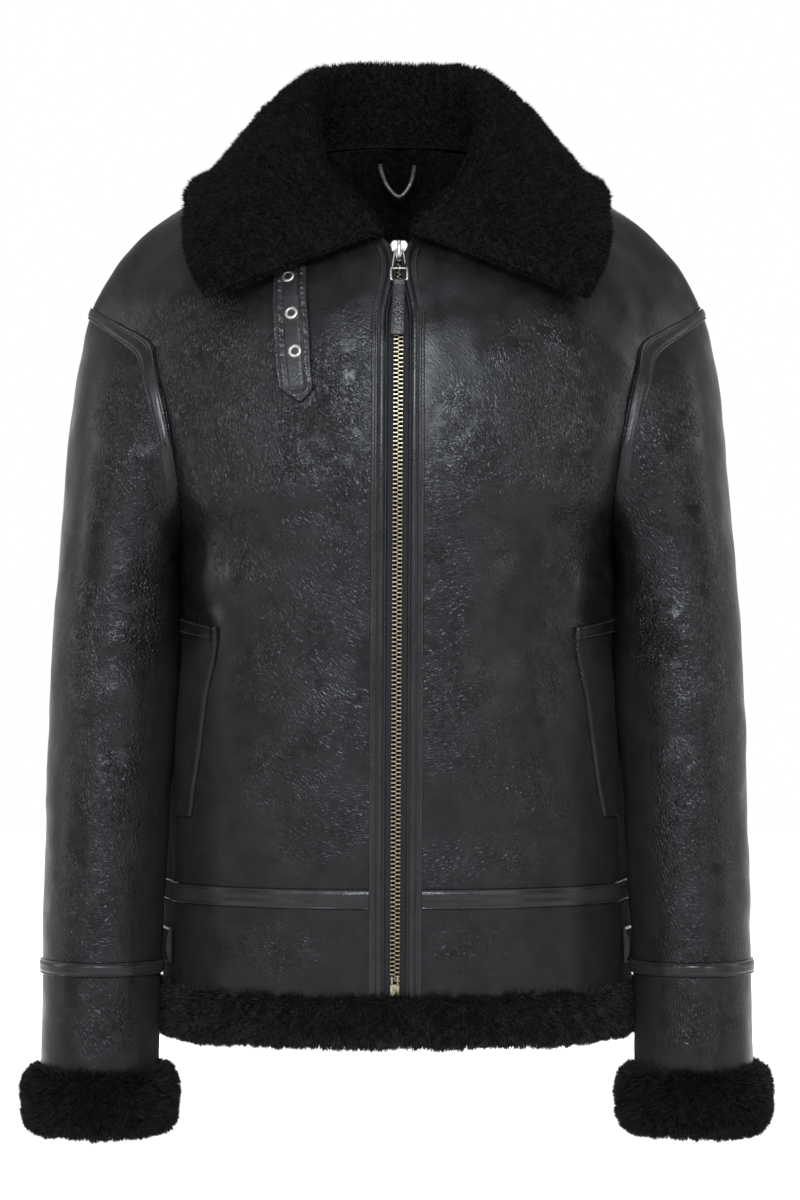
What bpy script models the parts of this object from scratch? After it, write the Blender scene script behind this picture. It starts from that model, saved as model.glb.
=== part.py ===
"""Sheepskin flying jacket, filled out and hollow, as worn. Metres, +Z up, front faces -Y.

The origin is the middle of the neck base, where the wearer's shoulders carry the jacket.
Left and right are the wearer's, so left is +X. Tables are in millimetres.
"""
import math

import bpy
import numpy as np

for old in list(bpy.data.objects):
    bpy.data.objects.remove(old, do_unlink=True)

MM = 0.001

# ---- driving dimensions, mm -------------------------------------------------
WALL = 8.0            # sheepskin with its pile pressed
GAP = 0.3             # between neighbouring pieces
LEATHER = 1.6         # strips of plain leather
HEM_Z = -664.0        # foot of the hem fur
BAND_FOOT_Z = -626.0  # where the hem band ends and the hem fur begins
WAIST_SEAM_Z = -550.0
STRIP_HALF = 8.0      # half the width of the waist seam strip
ARMHOLE_STRIP = 11.0
SLEEVE_SEAM_Z = -608.0
SLEEVE_STRIP_HALF = 6.0
CUFF_TOP_Z = -689.0
CUFF_FOOT_Z = -737.0
FUR = 12.0            # reach of the collar's fur
ZIP_HALF = 3.85       # half of the teeth chain
PLACKET_IN, PLACKET_OUT = 8.0, 20.5
ARMPIT_W = 389.0      # tape distance from the front hem, up the front, over the shoulder and down the back
SHOULDER_W = 730.0
NECK_BACK_W = 846.0
BACK_ARMPIT_W = 1175.0
BACK_HEM_W = 1564.0
ROUND = 1.95          # 1.66 is an ellipse, more is squarer

# ---- tables ------------------------------------------------------------------
# name, z, half_width, front_depth, back_depth, how far back the side seam runs
SKIRT = [
    ("hem", -664, 188, 130, 128, 25),
    ("band", -614, 188, 133, 129, 26),
    ("waist_seam", -550, 188, 136, 130, 28),
    ("pocket_foot", -480, 187, 138.5, 131, 30),
    ("hip", -400, 184, 140, 132, 29),
    ("pocket_top", -335, 179, 141, 134, 24),
    ("armpit", -275, 172, 141, 137, 8),
]
# name, w, start x y z (front edge or neckline), start pull x y z, end pull x y z
YOKE = [
    ("low_armhole_a", 404, (8, -141.3, -260), (277, 0, 0), (20, 235, 0)),
    ("low_armhole_b", 419, (8, -141.5, -245), (247, 0, 0), (45, 195, -5)),
    ("mid_armhole", 449, (8, -141, -215), (212, 0, 0), (80, 150, -8)),
    ("chest", 504, (8, -136, -160), (200, 0, 0), (98, 118, -25)),
    ("notch", 559, (8, -125, -105), (200, 0, -4), (108, 98, -55)),
    ("neck_front", 625, (8, -100, -42), (205, 0, -12), (112, 78, -92)),
    ("neck_side_front", 665, (52, -76, -16), (185, -6, -25), (105, 62, -112)),
    ("neck_side_high", 697, (76, -38, 10), (175, -8, -30), (95, 35, -135)),
    ("shoulder", 730, (86, 5, 28), (172, -3, -33), (84, 0, -202)),
    ("neck_back_side", 763, (82, 36, 36), (175, 6, -30), (95, -35, -135)),
    ("neck_back_low", 796, (60, 62, 43), (190, 8, -25), (105, -60, -112)),
    ("neck_back", 846, (0, 77, 46), (225, 8, -12), (115, -75, -92)),
    ("blade_high", 905, (0, 103, -8), (220, 0, -6), (115, -92, -58)),
    ("blade", 965, (0, 122, -66), (212, 0, -2), (105, -112, -30)),
    ("blade_low", 1035, (0, 133, -135), (208, 0, 0), (88, -145, -10)),
    ("back_low_b", 1110, (0, 137, -212), (235, 0, 0), (50, -195, -5)),
    ("back_low_a", 1145, (0, 137.3, -245), (280, 0, 0), (20, -238, 0)),
]
# name, w, x, y, z
ARMHOLE = [
    ("armpit", 389, 172, 8, -275),
    ("low_front", 404, 169.5, -32, -269),
    ("front_low", 419, 169, -64, -252),
    ("front_mid", 449, 173, -83, -214),
    ("front_high", 504, 179.5, -85, -173),
    ("notch", 559, 187, -77, -141),
    ("front_top_a", 625, 195, -61, -116),
    ("front_top_b", 665, 214, -42, -105),
    ("front_top_c", 697, 231, -22, -95),
    ("tip", 730, 243, 0, -86),
    ("back_top_c", 763, 231, 22, -94),
    ("back_top_b", 796, 215, 43, -103),
    ("back_top_a", 846, 198, 62, -115),
    ("back_notch", 905, 190, 77, -140),
    ("back_high", 965, 184, 86, -172),
    ("back_mid", 1035, 178, 85, -213),
    ("back_low", 1110, 173, 66, -251),
    ("low_back", 1145, 171.5, 42, -268),
    ("armpit_again", 1175, 172, 8, -275),
]
# name, s (tape down the outer side), outer x z, inner x z, centre y, half depth, share of the armhole's shape
SLEEVE = [
    ("armhole", 0, 243, -86, 172, -275, 0, 88, 1.0),
    ("head", 18, 249.3, -104, 173.5, -288, 0, 86, 0.62),
    ("cap", 50, 255.8, -135, 172.5, -303, 0, 84, 0.25),
    ("upper_arm", 100, 261.4, -180, 171, -324, -1, 79, 0.06),
    ("biceps", 160, 267, -240, 168.6, -342, -5, 75, 0),
    ("above_elbow", 240, 272.6, -320, 171, -380, -13, 71, 0),
    ("elbow", 320, 275.8, -400, 176, -430, -21, 67.5, 0),
    ("forearm", 400, 277.8, -480, 180, -490, -29, 63.5, 0),
    ("low_forearm", 460, 279, -540, 182.5, -542, -35, 59.5, 0),
    ("seam", 528, 280, -608, 186, -608, -40, 55.5, 0),
    ("wrist", 612, 281, -692, 187.5, -692, -46, 51.5, 0),
]
# name, station, neck x y z, fold centre x y z, outer edge x y z, plumpness, fur reach
COLLAR = [
    ("front_end", 0, (15, -101, -40), (16, -109, -36), (147, -112, -86), 2, 8),
    ("throat", 1, (36, -92, -26), (37, -101, -20), (160, -85, -60), 7, 11),
    ("throat_side", 2, (57, -70, -8), (57, -80, -2), (166, -52, -34), 11, 12),
    ("neck_front", 3, (75, -40, 14), (69, -52, 22), (165, -18, -12), 12, 12),
    ("neck_side", 4, (85, 0, 31), (75, -14, 48), (160, 24, -4), 13, 12),
    ("neck_back_side", 5, (81, 37, 40), (75, 22, 76), (145, 72, -8), 14, 12),
    ("back_corner", 6, (60, 63, 46), (67, 52, 96), (116, 114, -16), 16, 12),
    ("back", 7, (31, 74, 48.5), (38, 76, 104), (64, 138, -26), 14, 12),
    ("centre_back", 8, (0, 78, 49), (0, 85, 106), (0, 146, -30), 13, 12),
]


# ---- curves and surfaces -------------------------------------------------------
def through(knots, rows, t):
    """The smooth curve that passes through rows of values at rising knots."""
    k = np.asarray(knots, float)
    v = np.asarray(rows, float)
    t = np.clip(np.asarray(t, float), k[0], k[-1])
    d = np.diff(k)
    slope = np.diff(v, axis=0) / d[:, None]
    m = np.empty_like(v)
    m[1:-1] = (slope[:-1] * d[1:, None] + slope[1:] * d[:-1, None]) / (d[:-1] + d[1:])[:, None]
    m[0] = 1.5 * slope[0] - 0.5 * m[1]
    m[-1] = 1.5 * slope[-1] - 0.5 * m[-2]
    i = np.clip(np.searchsorted(k, t, side="right") - 1, 0, len(k) - 2)
    h = d[i][..., None]
    x = ((t - k[i]) / d[i])[..., None]
    return (
        (2 * x**3 - 3 * x**2 + 1) * v[i]
        + (x**3 - 2 * x**2 + x) * h * m[i]
        + (3 * x**2 - 2 * x**3) * v[i + 1]
        + (x**3 - x**2) * h * m[i + 1]
    )


def unit(a):
    return a / np.maximum(np.linalg.norm(a, axis=-1, keepdims=True), 1e-9)


def body_table():
    """Knots and rows of (start, start pull, end pull) from the front hem over the shoulder to the back hem."""
    knots, rows = [], []
    for name, z, half, front, back, aft in SKIRT:
        knots.append(z - HEM_Z)
        rows.append([8, -front, z, ROUND * (half - 8), 0, 0, 0, ROUND * (front + aft), 0])
    for name, w, start, pull, end in YOKE:
        knots.append(w)
        rows.append([*start, *pull, *end])
    for name, z, half, front, back, aft in reversed(SKIRT):
        knots.append(BACK_HEM_W - (z - HEM_Z))
        rows.append([0, back, z, ROUND * half, 0, 0, 0, -ROUND * (back - aft), 0])
    return np.array(knots, float), np.array(rows, float)


BODY_W, BODY_ROWS = body_table()
# the sleeve's oval at a height, from its own table: inner x, outer x, centre y, half depth
PRESS = sorted((row[5] if row[1] < 300 else row[3], row[4], row[2], row[6], row[7]) for row in SLEEVE[3:])
PRESS_Z = np.array([row[0] for row in PRESS], float)
PRESS_ROWS = np.array([row[1:] for row in PRESS], float)
ARM_W = np.array([row[1] for row in ARMHOLE], float)
ARM_P = np.array([row[2:] for row in ARMHOLE], float)
SIDE_W = np.array([row[1] - HEM_Z for row in SKIRT], float)
SIDE_XY = np.array([[row[2], row[5]] for row in SKIRT], float)


def outer_edge(w):
    """The side seam below the armpit, the armhole above it."""
    w = np.asarray(w, float)
    up = np.where(w > SHOULDER_W, BACK_HEM_W - w, w)
    xy = through(SIDE_W, SIDE_XY, up)
    side = np.stack([xy[..., 0], xy[..., 1], up + HEM_Z], axis=-1)
    low = (w < ARMPIT_W) | (w > BACK_ARMPIT_W)
    return np.where(low[..., None], side, through(ARM_W, ARM_P, w))


def lean(z):
    """The closed zip leans a little: its middle in x at a height."""
    return 1.7 - 3.4 * np.clip((-42 - z) / 584.0, 0, 1)


SLEEVE_GAP = 4.4


def clear_of_sleeve(p):
    """Body points that the hanging sleeve presses in: its oval at each height, a gap wider, pushes them out of itself."""
    z = p[..., 2]
    x_in, x_out, yc, depth = np.moveaxis(through(PRESS_Z, PRESS_ROWS, z), -1, 0)
    cx, half = (x_in + x_out) / 2, (x_out - x_in) / 2 + SLEEVE_GAP
    deep = depth + SLEEVE_GAP
    dy = (p[..., 1] - yc) / deep
    wall_x = cx - half * np.sqrt(np.clip(1 - dy**2, 0, 1))
    over = p[..., 0] - wall_x
    soft = 3.0
    pushed = wall_x - soft * np.log1p(np.exp(np.clip(-over / soft, -30, 30)))
    low = np.clip((-277 - z) / 55.0, 0, 1)
    on = low * low * (3 - 2 * low) * np.clip((1 - np.abs(dy)) / 0.25, 0, 1)
    q = p.copy()
    q[..., 0] = np.where(on > 0, p[..., 0] + on * (np.minimum(pushed, p[..., 0]) - p[..., 0]), p[..., 0])
    return q


def body(u, w):
    """A point of the outer surface of the half body at +X: u from the middle edge to the side, w the tape distance."""
    u, w = np.broadcast_arrays(np.asarray(u, float), np.asarray(w, float))
    row = through(BODY_W, BODY_ROWS, w)
    a, ta, tb = row[..., 0:3], row[..., 3:6], row[..., 6:9]
    b = outer_edge(w)
    x = u[..., None]
    p = (
        (2 * x**3 - 3 * x**2 + 1) * a
        + (x**3 - 2 * x**2 + x) * ta
        + (3 * x**2 - 2 * x**3) * b
        + (x**3 - x**2) * tb
    )
    return clear_of_sleeve(p)


ARM_C = np.array([207.0, 0.0, -181.0])
ARM_AXIS = unit(np.array([189.0, 0.0, 71.0]))  # the way the arm goes through


def arm_normal(p):
    """The seam's own outward direction round the armhole, shared by the body and the sleeve."""
    r = p - ARM_C
    return unit(r - (r @ ARM_AXIS)[..., None] * ARM_AXIS)


def body_normal(u, w):
    u, w = np.broadcast_arrays(np.asarray(u, float), np.asarray(w, float))
    e = 0.01
    u0, u1 = np.clip(u - e, 0, 1), np.clip(u + e, 0, 1)
    w0, w1 = np.clip(w - 1.5, 0, BACK_HEM_W), np.clip(w + 1.5, 0, BACK_HEM_W)
    n = unit(np.cross(body(u1, w) - body(u0, w), body(u, w1) - body(u, w0)))
    rim = (u > 0.999) & (w >= ARMPIT_W - 0.01) & (w <= BACK_ARMPIT_W + 0.01)
    side = (u > 0.999) & ~rim
    n = np.where(rim[..., None], arm_normal(body(u, w)), n)
    flat = n * np.array([1.0, 0.0, 1.0])
    return np.where(side[..., None], unit(flat), n)


def sided(p, side, zip_lean=False, u=None):
    """The half body's points on one side; the front edges follow the zip's lean."""
    q = p.copy()
    q[..., 0] *= side
    if zip_lean:
        fade = (1 - np.clip(u, 0, 1)) ** 2 * np.clip((-20 - p[..., 2]) / 40.0, 0, 1)
        q[..., 0] += lean(p[..., 2]) * fade
    return q


def u_at(distance, w):
    """The u whose point is a distance in from the start of the row."""
    w = np.asarray(w, float)
    start = body(np.zeros_like(w), w)
    u = np.full(w.shape, 0.02)
    for _ in range(12):
        far = np.linalg.norm(body(u, w) - start, axis=-1)
        farther = np.linalg.norm(body(u + 0.002, w) - start, axis=-1)
        u = u + (distance - far) / np.maximum((farther - far) / 0.002, 1.0)
    return u


def front_uv(x, z):
    """(u, w) of the front's point at a height z and a distance x from the middle."""
    x, z = np.broadcast_arrays(np.asarray(x, float), np.asarray(z, float))
    u, w = 0.7 * np.clip((x - 8) / 170.0, 0.02, 0.9) ** 1.1, z - HEM_Z
    for _ in range(40):
        p = body(u, w)
        du = (body(u + 0.002, w) - p) / 0.002
        dw = (body(u, w + 0.5) - p) / 0.5
        ex, ez = x - p[..., 0], z - p[..., 2]
        det = du[..., 0] * dw[..., 2] - du[..., 2] * dw[..., 0]
        u = np.clip(u + np.clip(0.8 * (ex * dw[..., 2] - ez * dw[..., 0]) / det, -0.04, 0.04), 0, 1)
        w = np.clip(w + 0.8 * (du[..., 0] * ez - du[..., 2] * ex) / det, 0, SHOULDER_W)
    return u, w


SLEEVE_S = np.array([row[1] for row in SLEEVE], float)
SLEEVE_ROWS = np.array([row[2:] for row in SLEEVE], float)


def ring_angle(p):
    """Where an armhole point sits round the sleeve: 0 outside, 90 degrees in front."""
    half = (ARM_P[9] - ARM_P[0]) / 2
    along = (p - ARM_C) @ unit(half) / np.linalg.norm(half)
    return np.arctan2(-p[..., 1] / 88.0, along)


def sleeve(w, s):
    """A point of the sleeve at +X: w picks the armhole point it starts from, s the tape distance down."""
    w, s = np.broadcast_arrays(np.asarray(w, float), np.asarray(s, float))
    hole = through(ARM_W, ARM_P, w)
    ox, oz, ix, iz, yc, depth, share = np.moveaxis(through(SLEEVE_S, SLEEVE_ROWS, s), -1, 0)
    share = np.clip(share, 0, 1)[..., None]
    a = ring_angle(hole)
    centre = np.stack([(ox + ix) / 2, yc, (oz + iz) / 2], axis=-1)
    arm = np.stack([(ox - ix) / 2, np.zeros_like(ox), (oz - iz) / 2], axis=-1)
    oval = centre + np.cos(a)[..., None] * arm
    oval[..., 1] -= np.sin(a) * depth
    return (1 - share) * oval + share * (hole + centre - ARM_C)


def sleeve_normal(w, s):
    w, s = np.broadcast_arrays(np.asarray(w, float), np.asarray(s, float))
    span = BACK_ARMPIT_W - ARMPIT_W

    def wrap(v):
        return ARMPIT_W + np.mod(v - ARMPIT_W, span)

    s0, s1 = np.clip(s - 1, 0, 612), np.clip(s + 1, 0, 612)
    across = sleeve(wrap(w + 3), s) - sleeve(wrap(w - 3), s)
    n = unit(np.cross(sleeve(w, s1) - sleeve(w, s0), across))
    return np.where((s < 0.01)[..., None], arm_normal(sleeve(w, s)), n)


COLLAR_S = np.array([row[1] for row in COLLAR], float)
COLLAR_ROWS = np.array([[*row[2], *row[3], *row[4], row[5], row[6]] for row in COLLAR], float)
FOLD_R = 3.0
STAND_T, FOLD_T = 0.25, 0.40  # the path's shares: stand up to the first, fold up to the second, fall to 1


def body_cloud():
    u, w = np.meshgrid(np.linspace(0, 1, 33), np.linspace(300, 1200, 181), indexing="ij")
    return body(u, w).reshape(-1, 3), body_normal(u, w).reshape(-1, 3)


CLOUD, CLOUD_N = body_cloud()


def lifted(p, gap):
    """Points moved out until they are a gap above the body."""
    q = p.reshape(-1, 3).copy()
    for start in range(0, len(q), 400):
        part = q[start : start + 400]
        at = np.argmin(((part[:, None] - CLOUD[None]) ** 2).sum(-1), axis=1)
        height = ((part - CLOUD[at]) * CLOUD_N[at]).sum(-1)
        q[start : start + 400] = part + np.maximum(gap - height, 0)[:, None] * CLOUD_N[at]
    return q.reshape(p.shape)


def collar_skin(s, t):
    """The leather side of the collar at +X: s from the front end to the centre back, t from the neck seam over the fold to the outer edge."""
    s, t = np.broadcast_arrays(np.asarray(s, float), np.asarray(t, float))
    row = through(COLLAR_S, COLLAR_ROWS, s)
    neck, fold, edge, plump = row[..., 0:3], row[..., 3:6], row[..., 6:9], row[..., 9]
    ahead = through(COLLAR_S, COLLAR_ROWS, np.clip(s + 0.05, 0, 8))[..., 3:6]
    behind = through(COLLAR_S, COLLAR_ROWS, np.clip(s - 0.05, 0, 8))[..., 3:6]
    along = unit(ahead - behind)
    rise = unit(fold - neck)
    inward = unit(np.cross(rise, along))
    fall = unit(edge - fold)
    outward = unit(np.cross(along, fall))
    outward *= np.sign((outward * (unit(edge - neck) + np.array([0, 0, 0.4]))).sum(-1))[..., None]
    inward *= -np.sign((inward * outward).sum(-1))[..., None]
    top = fold + FOLD_R * inward
    down = fold + FOLD_R * outward
    a = np.clip(t / STAND_T, 0, 1)[..., None]
    stand = neck + (top - neck) * a
    b = np.clip((t - STAND_T) / (FOLD_T - STAND_T), 0, 1)[..., None]
    up = unit(rise - fall * 0.6)
    turn = fold + FOLD_R * unit(
        inward * np.cos(b * math.pi / 2) ** 2 + outward * np.sin(b * math.pi / 2) ** 2 + up * np.sin(b * math.pi)
    )
    c = np.clip((t - FOLD_T) / (1 - FOLD_T), 0, 1)
    drop = down + (edge - down) * c[..., None] + outward * (plump * np.sin(math.pi * c**0.85))[..., None]
    out = np.where((t <= STAND_T)[..., None], stand, np.where((t <= FOLD_T)[..., None], turn, drop))
    loose = lifted(out, 4.5)
    return np.where((t > FOLD_T + 0.05)[..., None], loose, out)


def grid_normals(p, closed=False):
    """Unit normals of a grid of points, by its neighbours."""
    du = np.gradient(p, axis=0)
    dv = np.gradient(p, axis=1)
    if closed:
        du = np.roll(p, -1, axis=0) - np.roll(p, 1, axis=0)
    return unit(np.cross(du, dv))


# ---- solids --------------------------------------------------------------------
MATERIALS = {}


def material(name, colour, roughness, metallic=0.0):
    made = bpy.data.materials.new(name)
    made.use_nodes = True
    shader = made.node_tree.nodes["Principled BSDF"]
    shader.inputs["Base Color"].default_value = (*colour, 1.0)
    shader.inputs["Roughness"].default_value = roughness
    shader.inputs["Metallic"].default_value = metallic
    MATERIALS[name] = made
    return made


material("black_sheepskin", (0.018, 0.018, 0.020), 0.38)
material("black_fur", (0.008, 0.008, 0.009), 0.95)
material("black_leather", (0.016, 0.016, 0.018), 0.36)
material("zip_tape_cloth", (0.010, 0.010, 0.011), 0.85)
material("antique_brass", (0.42, 0.37, 0.24), 0.35, 1.0)
material("nickel", (0.72, 0.70, 0.67), 0.22, 1.0)


def solid(name, points, faces, finish, joined=None, origin=None):
    """A closed mesh object from points in mm, its faces turned outwards."""
    p = np.asarray(points, float)
    volume = 0.0
    for f in faces:
        for i in range(1, len(f) - 1):
            volume += np.dot(p[f[0]], np.cross(p[f[i]], p[f[i + 1]]))
    if volume < 0:
        faces = [tuple(reversed(f)) for f in faces]
    shift = np.zeros(3) if origin is None else np.asarray(origin, float)
    mesh = bpy.data.meshes.new(name)
    mesh.from_pydata([tuple(v) for v in (p - shift) * MM], [], [tuple(int(i) for i in f) for f in faces])
    mesh.materials.append(MATERIALS[finish])
    mesh.validate()
    mesh.shade_smooth()
    mesh.set_sharp_from_angle(angle=math.radians(40))
    made = bpy.data.objects.new(name, mesh)
    bpy.context.scene.collection.objects.link(made)
    if joined is not None:
        made.parent = joined
        made.location = (shift - np.asarray(joined["pivot_mm"][:])) * MM
    return made


def cloth(name, outer, inner, quads, finish):
    """A closed solid from two layers of the same points and the quads of the outer one. Its borders are drawn in half a gap."""
    outer, inner = outer.copy(), inner.copy()
    loops = [[(q[k], q[(k + 1) % 4], q[(k + 2) % 4], q[(k + 3) % 4]) for k in range(4)] for q in quads]
    ways = {(a, b) for sides in loops for a, b, _, _ in sides}
    rims = [side for sides in loops for side in sides if (side[1], side[0]) not in ways]
    moves = {(a, d) for a, b, c, d in rims} | {(b, c) for a, b, c, d in rims}
    step = {}
    for at, to in moves:
        d = outer[to] - outer[at]
        step[at] = step.get(at, 0) + d / max(np.linalg.norm(d), 1e-9) * (GAP / 2 + 0.02)
    for at, d in step.items():
        outer[at] += d
        inner[at] += d
    n = len(outer)
    points = np.concatenate([outer, inner])

    def key(i):
        return abs(outer[i][0]) + 0.37 * outer[i][1] + 0.11 * outer[i][2]

    faces = []
    for a, b, c, d in quads:
        for layer in (0, n):
            w = (a, b, c, d) if layer == 0 else (d, c, b, a)
            e, f, g, h = (i + layer for i in w)
            short = ((points[e] - points[g]) ** 2).sum() <= ((points[f] - points[h]) ** 2).sum()
            faces += [(e, f, g), (e, g, h)] if short else [(e, f, h), (f, g, h)]
    for a, b, _, _ in rims:
        # the diagonal starts at the same outer point in both neighbours
        faces += [(b, a, a + n), (b, a + n, b + n)] if key(b) > key(a) else [(b, a, b + n), (a, a + n, b + n)]
    return solid(name, points, faces, finish)


def wall(name, outer, inner, finish, closed=False):
    """A closed solid between two grids of points; the first index may run round a ring."""
    nu, nv = outer.shape[:2]
    quads = [
        (i * nv + j, ((i + 1) % nu) * nv + j, ((i + 1) % nu) * nv + j + 1, i * nv + j + 1)
        for i in range(nu if closed else nu - 1)
        for j in range(nv - 1)
    ]
    return cloth(name, outer.reshape(-1, 3), inner.reshape(-1, 3), quads, finish)


def body_panel(name, side, us, ws, thick=WALL):
    """A wall on the body between two lists of u and w. Side 0 is both halves as one piece, split above the back of the neck."""
    if side:
        u, w = np.meshgrid(us, ws, indexing="ij")
        p = body(u, w)
        inner = p - thick * body_normal(u, w)
        front = ws[0] < SHOULDER_W
        return wall(name, sided(p, side, front, u), sided(inner, side, front, u), "black_sheepskin")
    ids, points, backs, quads = {}, [], [], []

    def at(half, i, j):
        key = (0 if i == 0 and ws[j] >= NECK_BACK_W else half, i, j)
        if key not in ids:
            ids[key] = len(points)
            p, n = body(us[i], ws[j]), body_normal(us[i], ws[j])
            mirror = np.array([half, 1.0, 1.0])
            points.append(p * mirror)
            backs.append((p - thick * n) * mirror)
        return ids[key]

    for half in (1, -1):
        for i in range(len(us) - 1):
            for j in range(len(ws) - 1):
                quad = (at(half, i, j), at(half, i + 1, j), at(half, i + 1, j + 1), at(half, i, j + 1))
                quads.append(quad if half > 0 else quad[::-1])
    return cloth(name, np.array(points), np.array(backs), quads, "black_sheepskin")


def skin(name, side, u, w, rise, finish="black_leather", base=GAP, leans=True):
    """A thin piece that lies on the body: grids of u and w, and how far its top rises."""
    p, n = body(np.abs(u), w), body_normal(np.abs(u), w)
    low, high = p + base * n, p + (base + rise)[..., None] * n if np.ndim(rise) else p + (base + rise) * n
    if side == 0:
        sign = np.where(u < 0, -1.0, 1.0)
        low[..., 0] *= sign
        high[..., 0] *= sign
    else:
        low, high = sided(low, side, leans, np.abs(u)), sided(high, side, leans, np.abs(u))
    return wall(name, high, low, finish)


US = np.array([0, 0.14, 0.28, 0.42, 0.56, 0.68, 0.74, 0.80, 0.87, 0.94, 1.0])
BAND_ROWS = np.array([BAND_FOOT_Z - HEM_Z, 76.0, WAIST_SEAM_Z - HEM_Z])
SKIRT_ROWS = np.array([WAIST_SEAM_Z - HEM_Z, 184.0, 264.0, 296.0, 329.0, 359.0])
FRONT_ROWS = np.concatenate([SKIRT_ROWS, ARM_W[:10]])
BACK_ROWS = np.concatenate([ARM_W[9:], BACK_HEM_W - SKIRT_ROWS[::-1]])
RING_W = ARM_W[:-1]
SIDES = (("left", 1.0), ("right", -1.0))


def build_body():
    for label, side in SIDES:
        body_panel(f"front_{label}", side, US, FRONT_ROWS)
        body_panel(f"band_front_{label}", side, US, BAND_ROWS)
    body_panel("back", 0, US, BACK_ROWS)
    body_panel("band_back", 0, US, BACK_HEM_W - BAND_ROWS[::-1])


def build_strips():
    mid = WAIST_SEAM_Z - HEM_Z
    rows = np.array([mid - STRIP_HALF, mid, mid + STRIP_HALF])
    for label, side in SIDES:
        first = u_at(PLACKET_OUT - PLACKET_IN, rows)
        u = np.concatenate([first[None], np.repeat(US[1:, None], 3, axis=1)])
        w = np.broadcast_to(rows, u.shape)
        skin(f"waist_strip_{label}", side, u, w, np.array([1.2, LEATHER, 1.2]) * np.ones_like(u))
    us = np.concatenate([-US[::-1], US[1:]])
    u, w = np.meshgrid(us, BACK_HEM_W - rows[::-1], indexing="ij")
    skin("waist_strip_back", 0, u, w, np.array([1.2, LEATHER, 1.2]) * np.ones_like(u))

    # bound front edges with a raised welt along the middle: distance across, rise
    across = [(0.0, 1.4), (4.6, 1.6), (6.2, 2.6), (7.8, 1.6), (12.5, 1.2)]
    rows = np.concatenate([BAND_ROWS[:2], [100.0, 114.0], SKIRT_ROWS[1:], ARM_W[1:7]])
    for label, side in SIDES:
        u = np.stack([u_at(d, rows) if d else np.zeros_like(rows) for d, _ in across])
        w = np.broadcast_to(rows, u.shape)
        skin(f"placket_{label}", side, u, w, np.array([r for _, r in across])[:, None] * np.ones_like(u))


def mirrored(p, side):
    q = p.copy()
    q[..., 0] *= side
    return q


def sleeve_piece(name, side, stops, base, rise, finish, ring=True):
    w, s = np.meshgrid(RING_W if ring else RING_W[3:-2], stops, indexing="ij")
    p, n = sleeve(w, s), sleeve_normal(w, s)
    outer, inner = p + rise * n, p + base * n
    return wall(name, mirrored(outer, side), mirrored(inner, side), finish, closed=ring)


def build_sleeves():
    seam = 528.0
    for label, side in SIDES:
        sleeve_piece(f"sleeve_{label}", side, np.append(SLEEVE_S[:9], seam), -WALL, 0.0, "black_sheepskin")
        sleeve_piece(f"sleeve_low_{label}", side, [seam, 570.0, 609.0], -WALL, 0.0, "black_sheepskin")
        low, high = seam - SLEEVE_STRIP_HALF, seam + SLEEVE_STRIP_HALF
        sleeve_piece(f"sleeve_strip_{label}", side, [low, seam, high], 0.5, 0.5 + LEATHER, "black_leather")
        sleeve_piece(f"armhole_strip_{label}", side, [1.2, ARMHOLE_STRIP], 0.7, 0.7 + LEATHER, "black_leather", ring=False)
        # the cuff's fur: distance past the wrist, reach outwards
        profile = [(0, -WALL), (0.3, 6), (7, 12), (22, 14), (38, 13), (46, 7), (48, -1), (44, -8), (20, -WALL)]
        w = RING_W
        p, n = sleeve(w, 609.5 * np.ones_like(w)), sleeve_normal(w, 608.0 * np.ones_like(w))
        n = unit(n * np.array([1.0, 1.0, 0.0]))
        ring = np.stack([p + reach * n + np.array([0, 0, -down]) for down, reach in profile], axis=1)
        ring = mirrored(ring, side)
        nu, nv = ring.shape[:2]
        faces = []
        for i in range(nu):
            for j in range(nv):
                a, b = i * nv + j, ((i + 1) % nu) * nv + j
                c, d = ((i + 1) % nu) * nv + (j + 1) % nv, i * nv + (j + 1) % nv
                faces += [(a, b, c), (a, c, d)]
        solid(f"cuff_fur_{label}", ring.reshape(-1, 3), faces, "black_fur")


def tube_solid(name, sections, finish, cap=True, **kind):
    """A solid through closed sections of equal count, capped at both ends."""
    s = np.asarray(sections, float)
    n, m = s.shape[:2]
    faces = []
    for i in range(n - 1):
        for j in range(m):
            a, b = i * m + j, i * m + (j + 1) % m
            faces += [(a, b, b + m), (a, b + m, a + m)]
    faces += [tuple(range(m))[::-1], tuple(range((n - 1) * m, n * m))]
    return solid(name, s.reshape(-1, 3), faces, finish, **kind)


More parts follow.
